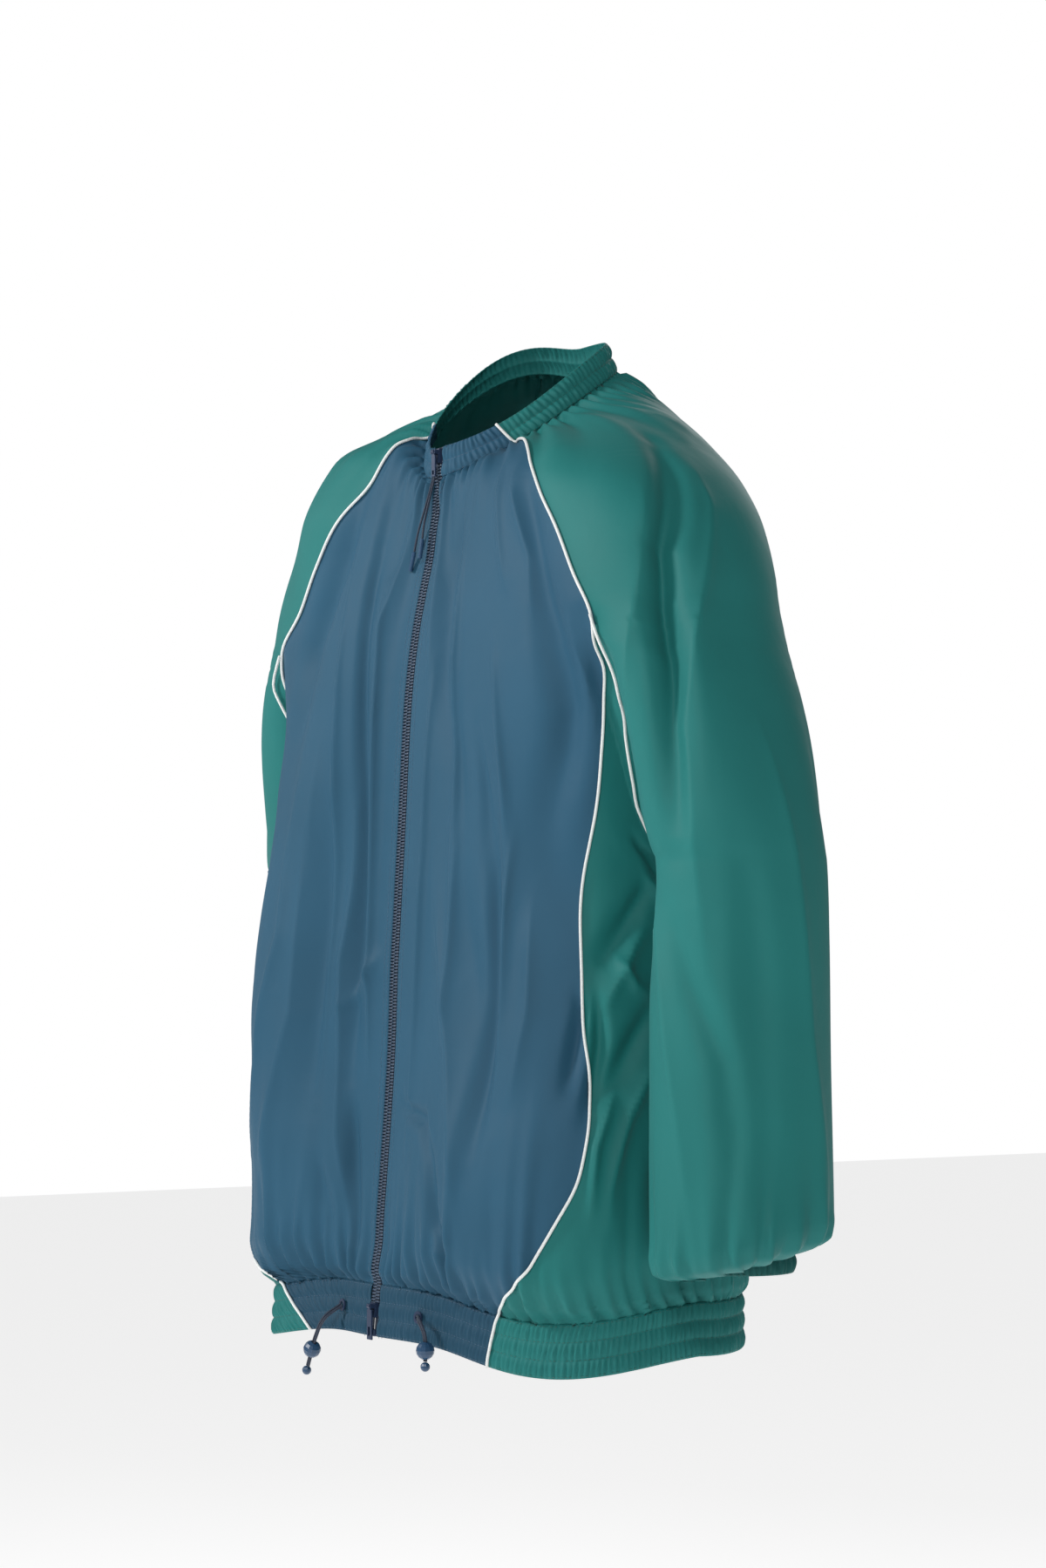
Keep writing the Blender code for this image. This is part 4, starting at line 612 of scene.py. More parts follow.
class Ring:
    """One side of a ring of cloth, from the middle of the front to the middle of the back."""

    def __init__(self, z, side=1):
        self.z = z
        self.side = side
        x, front, back = body_section(z) if z <= UNDERARM else eased_section(z)
        plane = np.concatenate(
            [np.stack([x, front], 1), np.stack([x[-2::-1], back[-2::-1]], 1)]
        )
        self.settle(plane)

    def settle(self, plane):
        steps = np.linalg.norm(np.diff(plane, axis=0), axis=1)
        self.along = np.concatenate([[0.0], np.cumsum(steps)])
        self.plane = plane
        self.angle = np.arctan2(plane[:, 0], -plane[:, 1])
        self.length = self.along[-1]

    def height(self, angle):
        tilt = smooth(YOKE, "tilt", self.z)
        near_hem = float(ease((HEM_DROP_START - self.z) / (HEM_DROP_START - HEM_TOP)))
        return self.z + tilt * neck_rise(angle) - near_hem * hem_drop(angle)

    def at(self, along):
        """Points at distances along the ring. Past either middle they are on the other side."""
        along = np.asarray(along, float)
        inside = np.where(along > self.length, 2 * self.length - along, np.abs(along))
        x = np.interp(inside, self.along, self.plane[:, 0])
        y = np.interp(inside, self.along, self.plane[:, 1])
        z = self.height(np.arctan2(x, -y))
        mirrored = (along < 0) | (along > self.length)
        on_right = mirrored != (self.side < 0)
        raised = np.where(on_right, ease((x - RAISED_FROM) / RAISED_OVER), 0.0)
        y = y - raised * smooth(RAISED, "forward", self.z)
        z = z + raised * smooth(RAISED, "up", self.z)
        return np.stack([np.where(mirrored, -x, x), y, z], 1)

    def along_at_angle(self, degrees):
        """The distance to an angle seen from the ring's middle, nearest to the front or back."""
        wanted = math.radians(degrees)
        if degrees <= 90:
            index = int(np.argmax(self.angle >= wanted))
            return float(np.interp(wanted, self.angle[: index + 1], self.along[: index + 1]))
        last = len(self.angle) - 1 - int(np.argmax(self.angle[::-1] <= wanted))
        return float(np.interp(wanted, self.angle[last:], self.along[last:]))

    def along_at_x(self, out, back=False):
        x = self.plane[:, 0]
        widest = RING_STEPS
        if back:
            return float(np.interp(-out, -x[widest:], self.along[widest:]))
        return float(np.interp(out, x[: widest + 1], self.along[: widest + 1]))


class SleeveRing(Ring):
    """A closed ring of a hanging sleeve, from its inner side forwards and round."""

    def __init__(self, z, side, across=None, deep=None):
        self.z = z
        self.side = side
        self.tilt = smooth(SLEEVE, "tilt", z)
        forward = smooth(SLEEVE, "y", z) - side * smooth(SLEEVE, "sway", z)
        self.middle = Vector((smooth(SLEEVE, "x", z), forward))
        turn = np.linspace(0, 2 * math.pi, 2 * RING_STEPS + 1)
        x = self.middle.x - (across or smooth(SLEEVE, "across", z)) * np.cos(turn)
        y = self.middle.y - (deep or smooth(SLEEVE, "deep", z)) * np.sin(turn)
        self.settle(np.stack([x, y], 1))

    def at(self, along):
        inside = np.mod(along, self.length)
        x = np.interp(inside, self.along, self.plane[:, 0])
        y = np.interp(inside, self.along, self.plane[:, 1])
        turn = np.arctan2(self.middle.y - y, self.middle.x - x)
        low = np.cos(turn - math.radians(SLEEVE_LOW_SIDE))
        return np.stack([x, y, self.z - self.tilt * low], 1)


class NeckRing(Ring):
    """A ring of the neckband, from 0 at its seam to 1 at its top edge."""

    def __init__(self, up, side=1):
        self.side = side
        self.z = NECK_BASE + SEAM_GAP + up * NECKBAND
        turn = np.linspace(0, math.pi / 2, RING_STEPS + 1)
        half = NECK_HALF - NECK_LEAN_IN * up
        x = half * np.sin(turn)
        front = -oval_depth(x, half, NECK_FRONT - NECK_LEAN_BACK * up, 2.0)
        back = oval_depth(x, half, NECK_BACK - NECK_LEAN_IN * up, 2.0)
        self.up = up
        upper = np.stack([x[-2::-1], back[-2::-1]], 1)
        self.settle(np.concatenate([np.stack([x, front], 1), upper]))

    def height(self, angle):
        return self.z + neck_rise(angle)


class HemRing(Ring):
    """A ring of the hem band, from 0 at its seam to 1 at its lower edge."""

    def __init__(self, down, side=1):
        super().__init__(HEM_TOP - BAND_GAP - down * HEM_BAND, side)


class CuffRing(SleeveRing):
    """A ring of the cuff, from 0 at its seam to 1 at its lower edge."""

    def __init__(self, down, side):
        super().__init__(CUFF_TOP, side, CUFF_ACROSS, CUFF_DEEP)
        self.z = CUFF_TOP - down * CUFF_BAND
        self.tilt = 0.0


# ---------------------------------------------------------------- seams


def front_edge(ring):
    return ZIP_EDGE


def ring_start(ring):
    return 0.0


def ring_end(ring):
    return ring.length


def front_seam(ring, side=0):
    """The front's outer seam, on the ring's own side or on the wanted one."""
    angle = smooth(FRONT_SEAM, "angle", ring.z)
    if (side or ring.side) < 0:
        angle -= smooth(RIGHT_TURN, "angle", ring.z)
    return ring.along_at_angle(angle)


def arm_front(ring):
    return ring.along_at_x(smooth(ARM_SEAM, "out", ring.z))


def arm_back(ring):
    return ring.along_at_x(smooth(ARM_SEAM, "out", ring.z), back=True)


def sleeve_front(ring):
    return front_seam(ring) if ring.z >= SPLIT else arm_front(ring)


def sleeve_back(ring):
    if ring.z >= SPLIT:
        return ring.along_at_angle(smooth(BACK_RAGLAN, "angle", ring.z))
    return arm_back(ring)


def side_end(ring):
    if ring.z > UNDERARM:
        return arm_front(ring)
    return ring.along_at_angle(smooth(BACK_SIDE, "angle", ring.z))


def back_start(ring):
    if ring.z > UNDERARM:
        return sleeve_back(ring)
    return ring.along_at_angle(smooth(BACK_SIDE, "angle", ring.z))


def after(seam):
    return lambda ring: seam(ring) + SEAM_GAP / 2


def before(seam):
    return lambda ring: seam(ring) - SEAM_GAP / 2


def neck_seam(ring, side=0):
    """The raglan seam across the neckband, which lies at the same place on both sides."""
    return ring.along_at_angle(FRONT_SEAM[0].angle - NECK_SEAM_TURN * ring.up)


def whole_back(seam):
    """The far end of a band that runs round the back to the same seam on the other side."""
    return lambda ring: 2 * ring.length - seam(ring, -1) - SEAM_GAP / 2


# ---------------------------------------------------------------- folds and gathers


class Cloth:
    """A grid of places on rings of cloth, with the distances that folds are read from."""

    def __init__(self, rings, alongs, side):
        self.side = side
        self.along = np.array(alongs)
        self.points = np.array([ring.at(along) for ring, along in zip(rings, self.along)])
        self.z = self.points[..., 2]
        self.level = np.array([ring.z for ring in rings])[:, None]
        self.length = np.array([ring.length for ring in rings])[:, None]
        past_back = self.along > self.length
        self.inside = np.where(past_back, 2 * self.length - self.along, np.abs(self.along))
        self.right = past_back | (side < 0)
        hanging = np.array([isinstance(ring, SleeveRing) for ring in rings])[:, None]
        outermost = np.array([ring.along[RING_STEPS] for ring in rings])[:, None]
        self.forward = np.where(hanging, self.length / 2 - self.along, outermost - self.inside)
        self.turn = np.arctan2(np.abs(self.points[..., 0]), -self.points[..., 1])
        steps = np.linalg.norm(np.diff(self.points, axis=0), axis=2)
        self.down = np.concatenate([np.zeros((1, steps.shape[1])), np.cumsum(steps, axis=0)])


def fold_lift(area, side, along, z):
    """How far the folds of one area push the cloth outwards."""
    lift = np.zeros(along.shape)
    for fold in FOLDS:
        if fold.area != area or fold.side * side < 0:
            continue
        route = np.array(fold.route, float)
        runs = np.diff(route, axis=0)
        lengths = np.linalg.norm(runs, axis=1)
        starts = np.concatenate([[0.0], np.cumsum(lengths)])
        nearest = np.full(along.shape, np.inf)
        place = np.zeros(along.shape)
        for start, run, length, begin in zip(route, runs, lengths, starts):
            t = ((along - start[0]) * run[0] + (z - start[1]) * run[1]) / length**2
            held = np.clip(t, 0, 1)
            away = np.hypot(along - start[0] - held * run[0], z - start[1] - held * run[1])
            closer = away < nearest
            nearest = np.where(closer, away, nearest)
            place = np.where(closer, (begin + held * length) / starts[-1], place)
        swell = np.sin(math.pi * np.clip(place, FOLD_END, 1 - FOLD_END)) ** FOLD_SWELL
        width = fold.width * (FOLD_WIDTH_START + FOLD_WIDTH_GAIN * place)
        height = fold.depth * (1.0 + FOLD_CRISP / fold.width) * swell
        if fold.depth > 0:
            blunt = np.hypot(nearest, CREST) - CREST
            lift += height * np.exp(-blunt / (RIDGE_WIDTH * width))
        else:
            lift += height * np.exp(-((nearest / width) ** 2))
    return lift


def gather_lift(form, where, away, reach_from, reach_to):
    """Gathers at uneven places between two distances, fading away from their seam."""
    chance = np.random.RandomState(form.seed)
    spacing = (reach_to - reach_from) / form.count
    share = np.arange(form.count) + chance.uniform(*GATHER_PLACE, form.count)
    places = reach_from + share * spacing
    lean = chance.uniform(-GATHER_LEAN, GATHER_LEAN, form.count)
    more = chance.uniform(0, 1, form.count) ** 2
    reach = form.reach_least + (form.reach_most - form.reach_least) * more
    depth = chance.uniform(form.depth_least, form.depth_most, form.count)
    width = form.width * (1 + away / GATHER_WIDENS)
    lift = np.zeros(where.shape)
    for k in range(form.count):
        fade = np.exp(-((away / reach[k]) ** GATHER_FADE))
        way = 1 if k % 2 else GATHER_HOLLOW
        lift += way * depth[k] * fade * np.exp(-(((where - places[k] - lean[k] * away) / width) ** 2))
    return lift


def fuller_front(along, z):
    """How far the wearer's right front stands out beyond the left one."""
    return smooth(FULLER, "lift", z) * np.exp(-(((along - FULLER_ALONG) / FULLER_WIDTH) ** 2))


def neck_gathers(cloth):
    where = cloth.turn * NECK_HALF
    last = math.pi * NECK_HALF - NECK_CLEAR
    return gather_lift(NECK_GATHERS, where, cloth.down, NECK_CLEAR, last) * ease(cloth.down / NECK_RISE)


def hem_gathers(cloth):
    away = cloth.level - HEM_TOP
    where = cloth.inside * HEM_ROUND / cloth.length
    first, last = HEM_CLEAR
    rising = ease(away / HEM_RISE + HEM_RISE_START)
    return gather_lift(HEM_GATHERS, where, away, first, HEM_ROUND - last) * rising


def cuff_gathers(cloth):
    away = np.maximum(cloth.level - SLEEVE[-1].z, 0)
    where = cloth.along / cloth.length * 2 * math.pi * SLEEVE_ROUND
    last = 2 * math.pi * SLEEVE_ROUND - CUFF_CLEAR
    return gather_lift(CUFF_GATHERS, where, away, CUFF_CLEAR, last)


def body_lift(side):
    def lift_at(cloth):
        lift = fold_lift("body", side, cloth.inside, cloth.z)
        lift += fold_lift("back", side, cloth.length - cloth.inside, cloth.z)
        if side < 0:
            fuller = fuller_front(cloth.inside, cloth.z)
            lift += fuller * ease((NECK_BASE - cloth.level) / NECK_EASE)
        arms = fold_lift("sleeve", side, cloth.forward, cloth.z)
        lift += np.where(cloth.level > UNDERARM, arms, 0.0)
        if cloth.level[0, 0] >= NECK_BASE - 1:
            lift += neck_gathers(cloth)
        return lift + np.where(cloth.level < HEM_NEAR, hem_gathers(cloth), 0.0)

    return lift_at


def sleeve_lift(side):
    upper = body_lift(side)

    def lift_at(cloth):
        hanging = fold_lift("sleeve", side, cloth.forward, cloth.z)
        hanging += np.where(cloth.level < CUFF_NEAR, cuff_gathers(cloth), 0.0)
        hanging *= ease((cloth.length / 2 - np.abs(cloth.forward)) / SLEEVE_SEAM_EASE)
        return np.where(cloth.level > UNDERARM, upper(cloth), hanging)

    return lift_at


def hem_lift(side):
    """The hem band has no folds of its own, but it follows the fuller front."""

    def lift_at(cloth):
        return np.where(cloth.right, fuller_front(cloth.inside, cloth.z), 0.0)

    return lift_at


def no_lift(cloth):
    return np.zeros(cloth.along.shape)


# ---------------------------------------------------------------- grids of cloth points


def outward(middle, beside):
    """Outward directions. Rows run down the cloth and columns run anticlockwise."""
    across = beside[1] - beside[0]
    down = np.gradient(middle, axis=0)
    normals = np.cross(down, across)
    return normals / np.linalg.norm(normals, axis=-1, keepdims=True)


def level_near_hem(normals, z):
    """Folds rise along the cloth's normals, and level with the ground near the hem."""
    upright = ease((z - LEVEL_BELOW) / (LEVEL_ABOVE - LEVEL_BELOW))
    ways = normals * np.stack([np.ones_like(z), np.ones_like(z), upright], -1)
    return ways / np.linalg.norm(ways, axis=-1, keepdims=True)


def cloth_grid(rings, alongs, lift_at, side=1):
    """Folded points on rings, and their outward directions. lift_at gives the folds' height."""
    alongs = np.array(alongs)
    layers = [Cloth(rings, alongs + shift, side) for shift in (-BESIDE, 0.0, BESIDE)]
    plain = [layer.points for layer in layers]
    ways = level_near_hem(outward(plain[1], (plain[0], plain[2])), layers[1].z)
    west, middle, east = (layer.points + ways * lift_at(layer)[..., None] for layer in layers)
    return middle, outward(middle, (west, east))


def evened(grid, levels, share):
    """Evens the rows out down the cloth near the underarm. share says how much, column by column."""
    here = ease(1 - np.abs(np.array(levels) - UNDERARM) / EVEN_OVER)[1:-1, None, None]
    for _ in range(EVEN_TIMES):
        mean = (grid[:-2] + grid[2:]) / 2
        grid[1:-1] += here * share[None, :, None] * 0.5 * (mean - grid[1:-1])
    return grid


def spread(rings, start, end, columns):
    """Evenly spaced distances along each ring between two seams, short of each by half a gap."""
    half_gap = SEAM_GAP / 2
    return np.array(
        [np.linspace(start(ring) + half_gap, end(ring) - half_gap, columns) for ring in rings]
    )


def levels_between(stops, step):
    """Heights from the first stop to the last, no further apart than a step."""
    levels = [float(stops[0])]
    for above, below in zip(stops, stops[1:]):
        count = math.ceil((above - below) / step)
        levels += [above + (below - above) * (k + 1) / count for k in range(count)]
    return levels


YOKE_LEVELS = levels_between([NECK_BASE, NECK_FINE_TO], NECK_STEP)
YOKE_LEVELS += levels_between([NECK_FINE_TO, YOKE_GATHERED_TO], GATHERED_STEP)[1:]
YOKE_LEVELS += levels_between([YOKE_GATHERED_TO, SPLIT], ROW_STEP)[1:]
ARM_LEVELS = levels_between([SPLIT, UNDERARM + UNDERARM_CLEAR[0]], ROW_STEP)[1:]
BODY_LEVELS = levels_between([UNDERARM - UNDERARM_CLEAR[1], HEM_GATHERED_FROM], ROW_STEP)
BODY_LEVELS += levels_between([HEM_GATHERED_FROM, HEM_TOP], GATHERED_STEP)[1:]
SLEEVE_LEVELS = levels_between([UNDERARM - UNDERARM_CLEAR[1], CUFF_GATHERED_FROM], ROW_STEP)
SLEEVE_LEVELS += levels_between([CUFF_GATHERED_FROM] + [row.z for row in SLEEVE[-3:]], CUFF_STEP)[1:]
SIDE_LEVELS = ARM_LEVELS + BODY_LEVELS
FRONT_LEVELS = YOKE_LEVELS + SIDE_LEVELS


# ---------------------------------------------------------------- meshes


def placed(name, data):
    """A new object in the scene."""
    made = bpy.data.objects.new(name, data)
    bpy.context.scene.collection.objects.link(made)
    return made


def mesh_of(name, points, faces, finish, uvs):
    """A smooth mesh from points in millimetres, with one place on the weave for each point."""
    mesh = bpy.data.meshes.new(name)
    mesh.from_pydata((points * UNIT).tolist(), [], faces)
    corners = np.zeros(len(mesh.loops), int)
    mesh.loops.foreach_get("vertex_index", corners)
    layer = mesh.uv_layers.new(name="cloth")
    layer.data.foreach_set("uv", (uvs[corners] * UNIT).ravel())
    mesh.shade_smooth()
    mesh.materials.append(finish)
    return placed(name, mesh)


def grid_faces(rows, columns, first=0):
    """Four-sided faces over a grid of points, outwards for rows down and columns anticlockwise."""
    corner = first + np.arange(rows * columns).reshape(rows, columns)
    quads = (corner[:-1, :-1], corner[1:, :-1], corner[1:, 1:], corner[:-1, 1:])
    return np.stack([quad.ravel() for quad in quads], 1)


def strip_faces(near, far):
    return np.stack([near[:-1], far[:-1], far[1:], near[1:]], 1)


def shell(name, outer, inner, finish, uvs, joined_from=None):
    """Two sheets and a rim round them. Rows from joined_from on close into a tube."""
    rows, columns = outer.shape[:2]
    joined_from = rows if joined_from is None else joined_from
    size = rows * columns
    out = np.arange(size).reshape(rows, columns)
    into = out + size
    faces = [
        grid_faces(rows, columns), grid_faces(rows, columns, size)[:, ::-1],
        strip_faces(into[0], out[0]), strip_faces(out[-1], into[-1]),
    ]
    if joined_from > 1:
        open_rows = slice(0, joined_from + 1)
        faces.append(strip_faces(out[open_rows, 0], into[open_rows, 0]))
        faces.append(strip_faces(into[open_rows, -1], out[open_rows, -1]))
    points = np.concatenate([outer.reshape(-1, 3), inner.reshape(-1, 3)])
    places = np.concatenate([uvs.reshape(-1, 2)] * 2)
    piece = mesh_of(name, points, np.concatenate(faces).tolist(), finish, places)
    if joined_from < rows:
        close_seams(piece)
    return piece


def close_seams(piece):
    shape = bmesh.new()
    shape.from_mesh(piece.data)
    bmesh.ops.remove_doubles(shape, verts=shape.verts, dist=0.01 * UNIT)
    shape.to_mesh(piece.data)
    shape.free()


def side_turn(side):
    """What brings left-hand points to the wanted side."""
    return np.array([side, 1.0, 1.0])


def mirrored(grid):
    """The wearer's right-hand copy of a left-hand grid, still anticlockwise."""
    return grid[:, ::-1] * side_turn(-1)


# ---------------------------------------------------------------- pieces on the frame


def on_garment(piece, node, body="garment"):
    """Takes the place of a solid of the part and on its body."""
    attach(piece, body)
    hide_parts(node)
    return piece


def tucked(points, normals):
    """The inner sheet, whose edges run on a little way under the neighbouring piece."""
    inner = points - normals * SHELL
    every = slice(None)
    for edge, beside, tuck in (
        ((0, every), (1, every), BAND_TUCK), ((-1, every), (-2, every), BAND_TUCK),
        ((every, 0), (every, 1), SEAM_TUCK), ((every, -1), (every, -2), SEAM_TUCK),
    ):
        run = points[edge] - points[beside]
        run /= np.linalg.norm(run, axis=-1, keepdims=True)
        if tuck is BAND_TUCK:
            run = TUCK_SLOPE * run + np.array([0.0, 0.0, 1.0 if edge[0] == 0 else -1.0])
        inner[edge] = inner[edge] + run * tuck.under - normals[edge] * tuck.deep
    return inner


def panel(name, points, normals, uvs, side, finish, joined_from=None):
    inner = points - normals * SHELL
    inner[: joined_from] = tucked(points[: joined_from], normals[: joined_from])
    if side < 0:
        points, inner = mirrored(points), mirrored(inner)
        uvs = uvs[:, ::-1]
    piece = shell(name + "_cloth", points, inner, finish, uvs, joined_from)
    on_garment(piece, name)


def cloth_places(alongs, levels):
    return np.stack([np.array(alongs), np.repeat(np.array(levels)[:, None], alongs.shape[1], 1)], -1)


def body_panel(name, levels, start, end, columns, side, finish):
    rings = [Ring(z, side) for z in levels]
    alongs = spread(rings, start, end, columns)
    points, normals = cloth_grid(rings, alongs, body_lift(side), side)
    share = np.ones(columns) if start is front_edge else ease(1 - np.linspace(0, SIDE_EVEN, columns))
    points = evened(points, levels, share)
    panel(name, points, normals, cloth_places(alongs, levels), side, finish)


def sleeve_panel(name, side, finish):
    upper = [Ring(z, side) for z in YOKE_LEVELS + ARM_LEVELS]
    lower = [SleeveRing(z, side) for z in SLEEVE_LEVELS]
    alongs = spread(upper, sleeve_front, sleeve_back, SLEEVE_COLUMNS)
    round_it = np.array([np.linspace(0, ring.length, SLEEVE_COLUMNS) for ring in lower])
    alongs = np.concatenate([alongs, round_it])
    points, normals = cloth_grid(upper + lower, alongs, sleeve_lift(side), side)
    points[len(upper) :, -1] = points[len(upper) :, 0]
    normals[len(upper) :, -1] = normals[len(upper) :, 0]
    levels = YOKE_LEVELS + ARM_LEVELS + SLEEVE_LEVELS
    places = cloth_places(alongs, levels)
    panel(name, points, normals, places, side, finish, len(upper))


def back_panel(name, finish):
    levels = FRONT_LEVELS
    halves = []
    for side in (1, -1):
        rings = [Ring(z, side) for z in levels]
        alongs = spread(rings, back_start, lambda ring: ring.length + SEAM_GAP / 2, BACK_COLUMNS)
        points, normals = cloth_grid(rings, alongs, body_lift(side), side)
        points = evened(points, levels, ease(np.linspace(0, BACK_EVEN, BACK_COLUMNS)))
        places = cloth_places(alongs - alongs[:, -1:], levels)
        halves.append((points, normals, places))
    (left, left_out, left_place), (right, right_out, right_place) = halves
    flip = np.array([-1.0, 1.0])
    points = np.concatenate([left, mirrored(right)[:, 1:]], axis=1)
    normals = np.concatenate([left_out, mirrored(right_out)[:, 1:]], axis=1)
    places = np.concatenate([left_place, (right_place * flip)[:, ::-1][:, 1:]], axis=1)
    blend_middle(points, normals, BACK_COLUMNS - 1)
    panel(name, points, normals, places, 1, finish)


def blend_middle(points, normals, middle):
    """Brings the back's two halves together smoothly where they meet."""
    points[:, middle] = (points[:, middle - 1] + points[:, middle + 1]) / 2
    points[:, middle, 0] = 0
    normals[:, middle] = normals[:, middle - 1] + normals[:, middle + 1]
    normals[:, middle] /= np.linalg.norm(normals[:, middle], axis=1, keepdims=True)


# ---------------------------------------------------------------- shirred bands

BandPart = namedtuple("BandPart", "name form kind start end lift_at side slot finish thread")


def front_bands(side, label):
    """The gathered bands of one side: in front at the neck and the hem, and the cuff."""
    blue, teal = ("nylon_blue", "nylon_blue", "blue"), ("cuff_teal", "cuff_teal", "teal")
    return [
        BandPart("neckband_front_" + label, NECK_BAND, NeckRing, front_edge, before(neck_seam),
                 no_lift, side, *blue),
        # The fronts' hem band takes the blue nylon darkened as painted shade.
        BandPart("hem_front_" + label, HEM_BAND_FORM, HemRing, front_edge, before(front_seam),
                 hem_lift(side), side, "nylon_blue", "band_blue_painted_shade", "blue"),
        BandPart("cuff_" + label, CUFF_BAND_FORM, CuffRing, ring_start, ring_end,
                 no_lift, side, *teal),
    ]


def back_bands():
    """The neckband and the hem band round the back, from one front seam to the other."""
    green = ("nylon_green", "nylon_green", "green")
    return [
        BandPart("neckband_back", NECK_BAND, NeckRing, after(neck_seam), whole_back(neck_seam),
                 no_lift, 1, *green),
        BandPart("hem_back", HEM_BAND_FORM, HemRing, after(front_seam), whole_back(front_seam),
                 hem_lift(1), 1, *green),
    ]


def band_rings(kind, count, side):
    downs = np.linspace(0, 1, count)
    if kind is NeckRing:
        downs = downs[::-1]
    return [kind(float(down), side) for down in downs]


def band_alongs(part, rings, columns):
    return np.array([np.linspace(part.start(ring), part.end(ring), columns) for ring in rings])


def ruffles(where, down, seed):
    """Uneven gathers of an elastic band, which shift a little from one channel to the next."""
    chance = np.random.RandomState(seed)
    lift = np.zeros(where.shape)
    for ripple in RIPPLES:
        drift = chance.uniform(0, 2 * math.pi)
        sway = chance.uniform(*WANDER)
        phase = 2 * math.pi * where / RUFFLE_APART * ripple.times + drift
        shift = np.sin(2 * math.pi * where / WANDER_APART + WANDER_TURN * drift + WANDER_DOWN * down)
        lift += ripple.share * np.cos(phase + sway * shift)
    return lift


def channel_bulge(down):
    """How far a band puffs between its rows of stitches, from 0 to 1."""
    return np.abs(np.sin(math.pi * down)) ** CHANNEL_POWER


def ruffle_lift(part, where, down):
    """How far a band's gathers stand out, at distances along it and at channels down it."""
    bulge = channel_bulge(down)
    waves = ruffles(where, down, part.form.seed + part.side)
    return BAND_OUT + bulge * CHANNEL_PUFF + (PINCHED + OPENED * bulge) * RUFFLE_HEIGHT / 2 * waves


def band_grid(part, rings):
    """A band's outer points, its outward directions and its distances along the rings."""
    length = max(part.end(ring) - part.start(ring) for ring in rings)
    alongs = band_alongs(part, rings, int(length / RUFFLE_STEP))
    plain, normals = cloth_grid(rings, alongs, part.lift_at, part.side)
    down = np.linspace(0, part.form.channels, len(rings))[:, None]
    where = (alongs[0] + alongs[-1])[None, :] / 2
    lift = ruffle_lift(part, np.repeat(where, len(rings), 0), down)
    return plain + normals * lift[..., None], normals, alongs


def band(part, finish):
    rings = band_rings(part.kind, part.form.rows, part.side)
    outer, normals, alongs = band_grid(part, rings)
    closed = part.kind is CuffRing
    if closed:
        outer[:, -1] = outer[:, 0]
        normals[:, -1] = normals[:, 0]
    inner = outer - normals * SHELL
    places = cloth_places(alongs, [ring.z for ring in rings])
    if part.side < 0:
        outer, inner, places = mirrored(outer), mirrored(inner), places[:, ::-1]
    piece = shell(part.name + "_cloth", outer, inner, finish, places, 0 if closed else None)
    on_garment(piece, part.name)


def bands(finishes):
    for part in front_bands(*SIDES[0]) + front_bands(*SIDES[1]) + back_bands():
        band(part, finishes[part.finish])


# ---------------------------------------------------------------- piping and zip


def round_tube(name, path, radius, finish):
    """A round tube along a path in millimetres, with closed ends."""
    runs = np.gradient(path, axis=0)
    runs /= np.linalg.norm(runs, axis=1, keepdims=True)
    side = np.cross(runs[0], ASKEW)
    across = []
    for run in runs:
        side = side - run * side.dot(run)
        side /= np.linalg.norm(side)
        across.append(side)
    across = np.array(across)
    over = np.cross(runs, across)
    turns = np.arange(ROUND_SIDES) * 2 * math.pi / ROUND_SIDES
    rims = path[:, None] + radius * (
        np.cos(turns)[None, :, None] * across[:, None] + np.sin(turns)[None, :, None] * over[:, None]
    )
    count = len(path)
    corner = np.arange(count * ROUND_SIDES).reshape(count, ROUND_SIDES)
    wrapped = np.concatenate([corner, corner[:, :1]], axis=1)
    quads = (wrapped[:-1, :-1], wrapped[:-1, 1:], wrapped[1:, 1:], wrapped[1:, :-1])
    faces = np.stack([quad.ravel() for quad in quads], 1).tolist()
    faces += [corner[0][::-1].tolist(), corner[-1].tolist()]
    lengths = np.concatenate([[0.0], np.cumsum(np.linalg.norm(np.diff(path, axis=0), axis=1))])
    uvs = np.stack([np.tile(turns * radius, count), np.repeat(lengths, ROUND_SIDES)], 1)
    return mesh_of(name, rims.reshape(-1, 3), faces, finish, uvs)


Stretch = namedtuple("Stretch", "rings seam lift_at channels")


def front_stretches(side):
    """The three stretches of cloth down one front: neckband, panel and hem band."""
    return (
        Stretch(band_rings(NeckRing, NECK_ROWS, side), before(neck_seam), no_lift, NECK_BAND.channels),
        Stretch([Ring(z, side) for z in FRONT_LEVELS], before(front_seam), body_lift(side), 0),
        Stretch(band_rings(HemRing, HEM_ROWS, side), before(front_seam), hem_lift(side),
                HEM_BAND_FORM.channels),
    )


def stretch_grid(stretch, alongs, side):
    """Points and outward directions of a stretch. A band has its puff, without its ruffles."""
    points, normals = cloth_grid(stretch.rings, alongs, stretch.lift_at, side)
    points = evened(points, [ring.z for ring in stretch.rings], np.ones(alongs.shape[1]))
    puff = channel_bulge(np.linspace(0, stretch.channels, len(stretch.rings)))
    points = points + normals * (puff * CHANNEL_PUFF * (stretch.channels > 0))[:, None, None]
    return points, normals


def front_rows(side):
    """Grids down one front, from its zip edge to its outer seam."""
    grids = []
    for stretch in front_stretches(side):
        ends = [stretch.seam(ring) for ring in stretch.rings]
        alongs = np.array([np.linspace(ZIP_EDGE, end, FRONT_COLUMNS) for end in ends])
        grids.append(stretch_grid(stretch, alongs, side))
    return grids


def columns_of(grids, column, side):
    """One column of points and outward directions through stacked grids, on the wanted side."""
    points = np.concatenate([points[:, column] for points, normals in grids])
    normals = np.concatenate([normals[:, column] for points, normals in grids])
    return points * side_turn(side), normals * side_turn(side)


def rounded(path, times):
    """Takes small corners out of a path, and keeps its ends."""
    path = path.copy()
    for _ in range(times):
        path[1:-1] = (path[:-2] + 2 * path[1:-1] + path[2:]) / 4
    return path


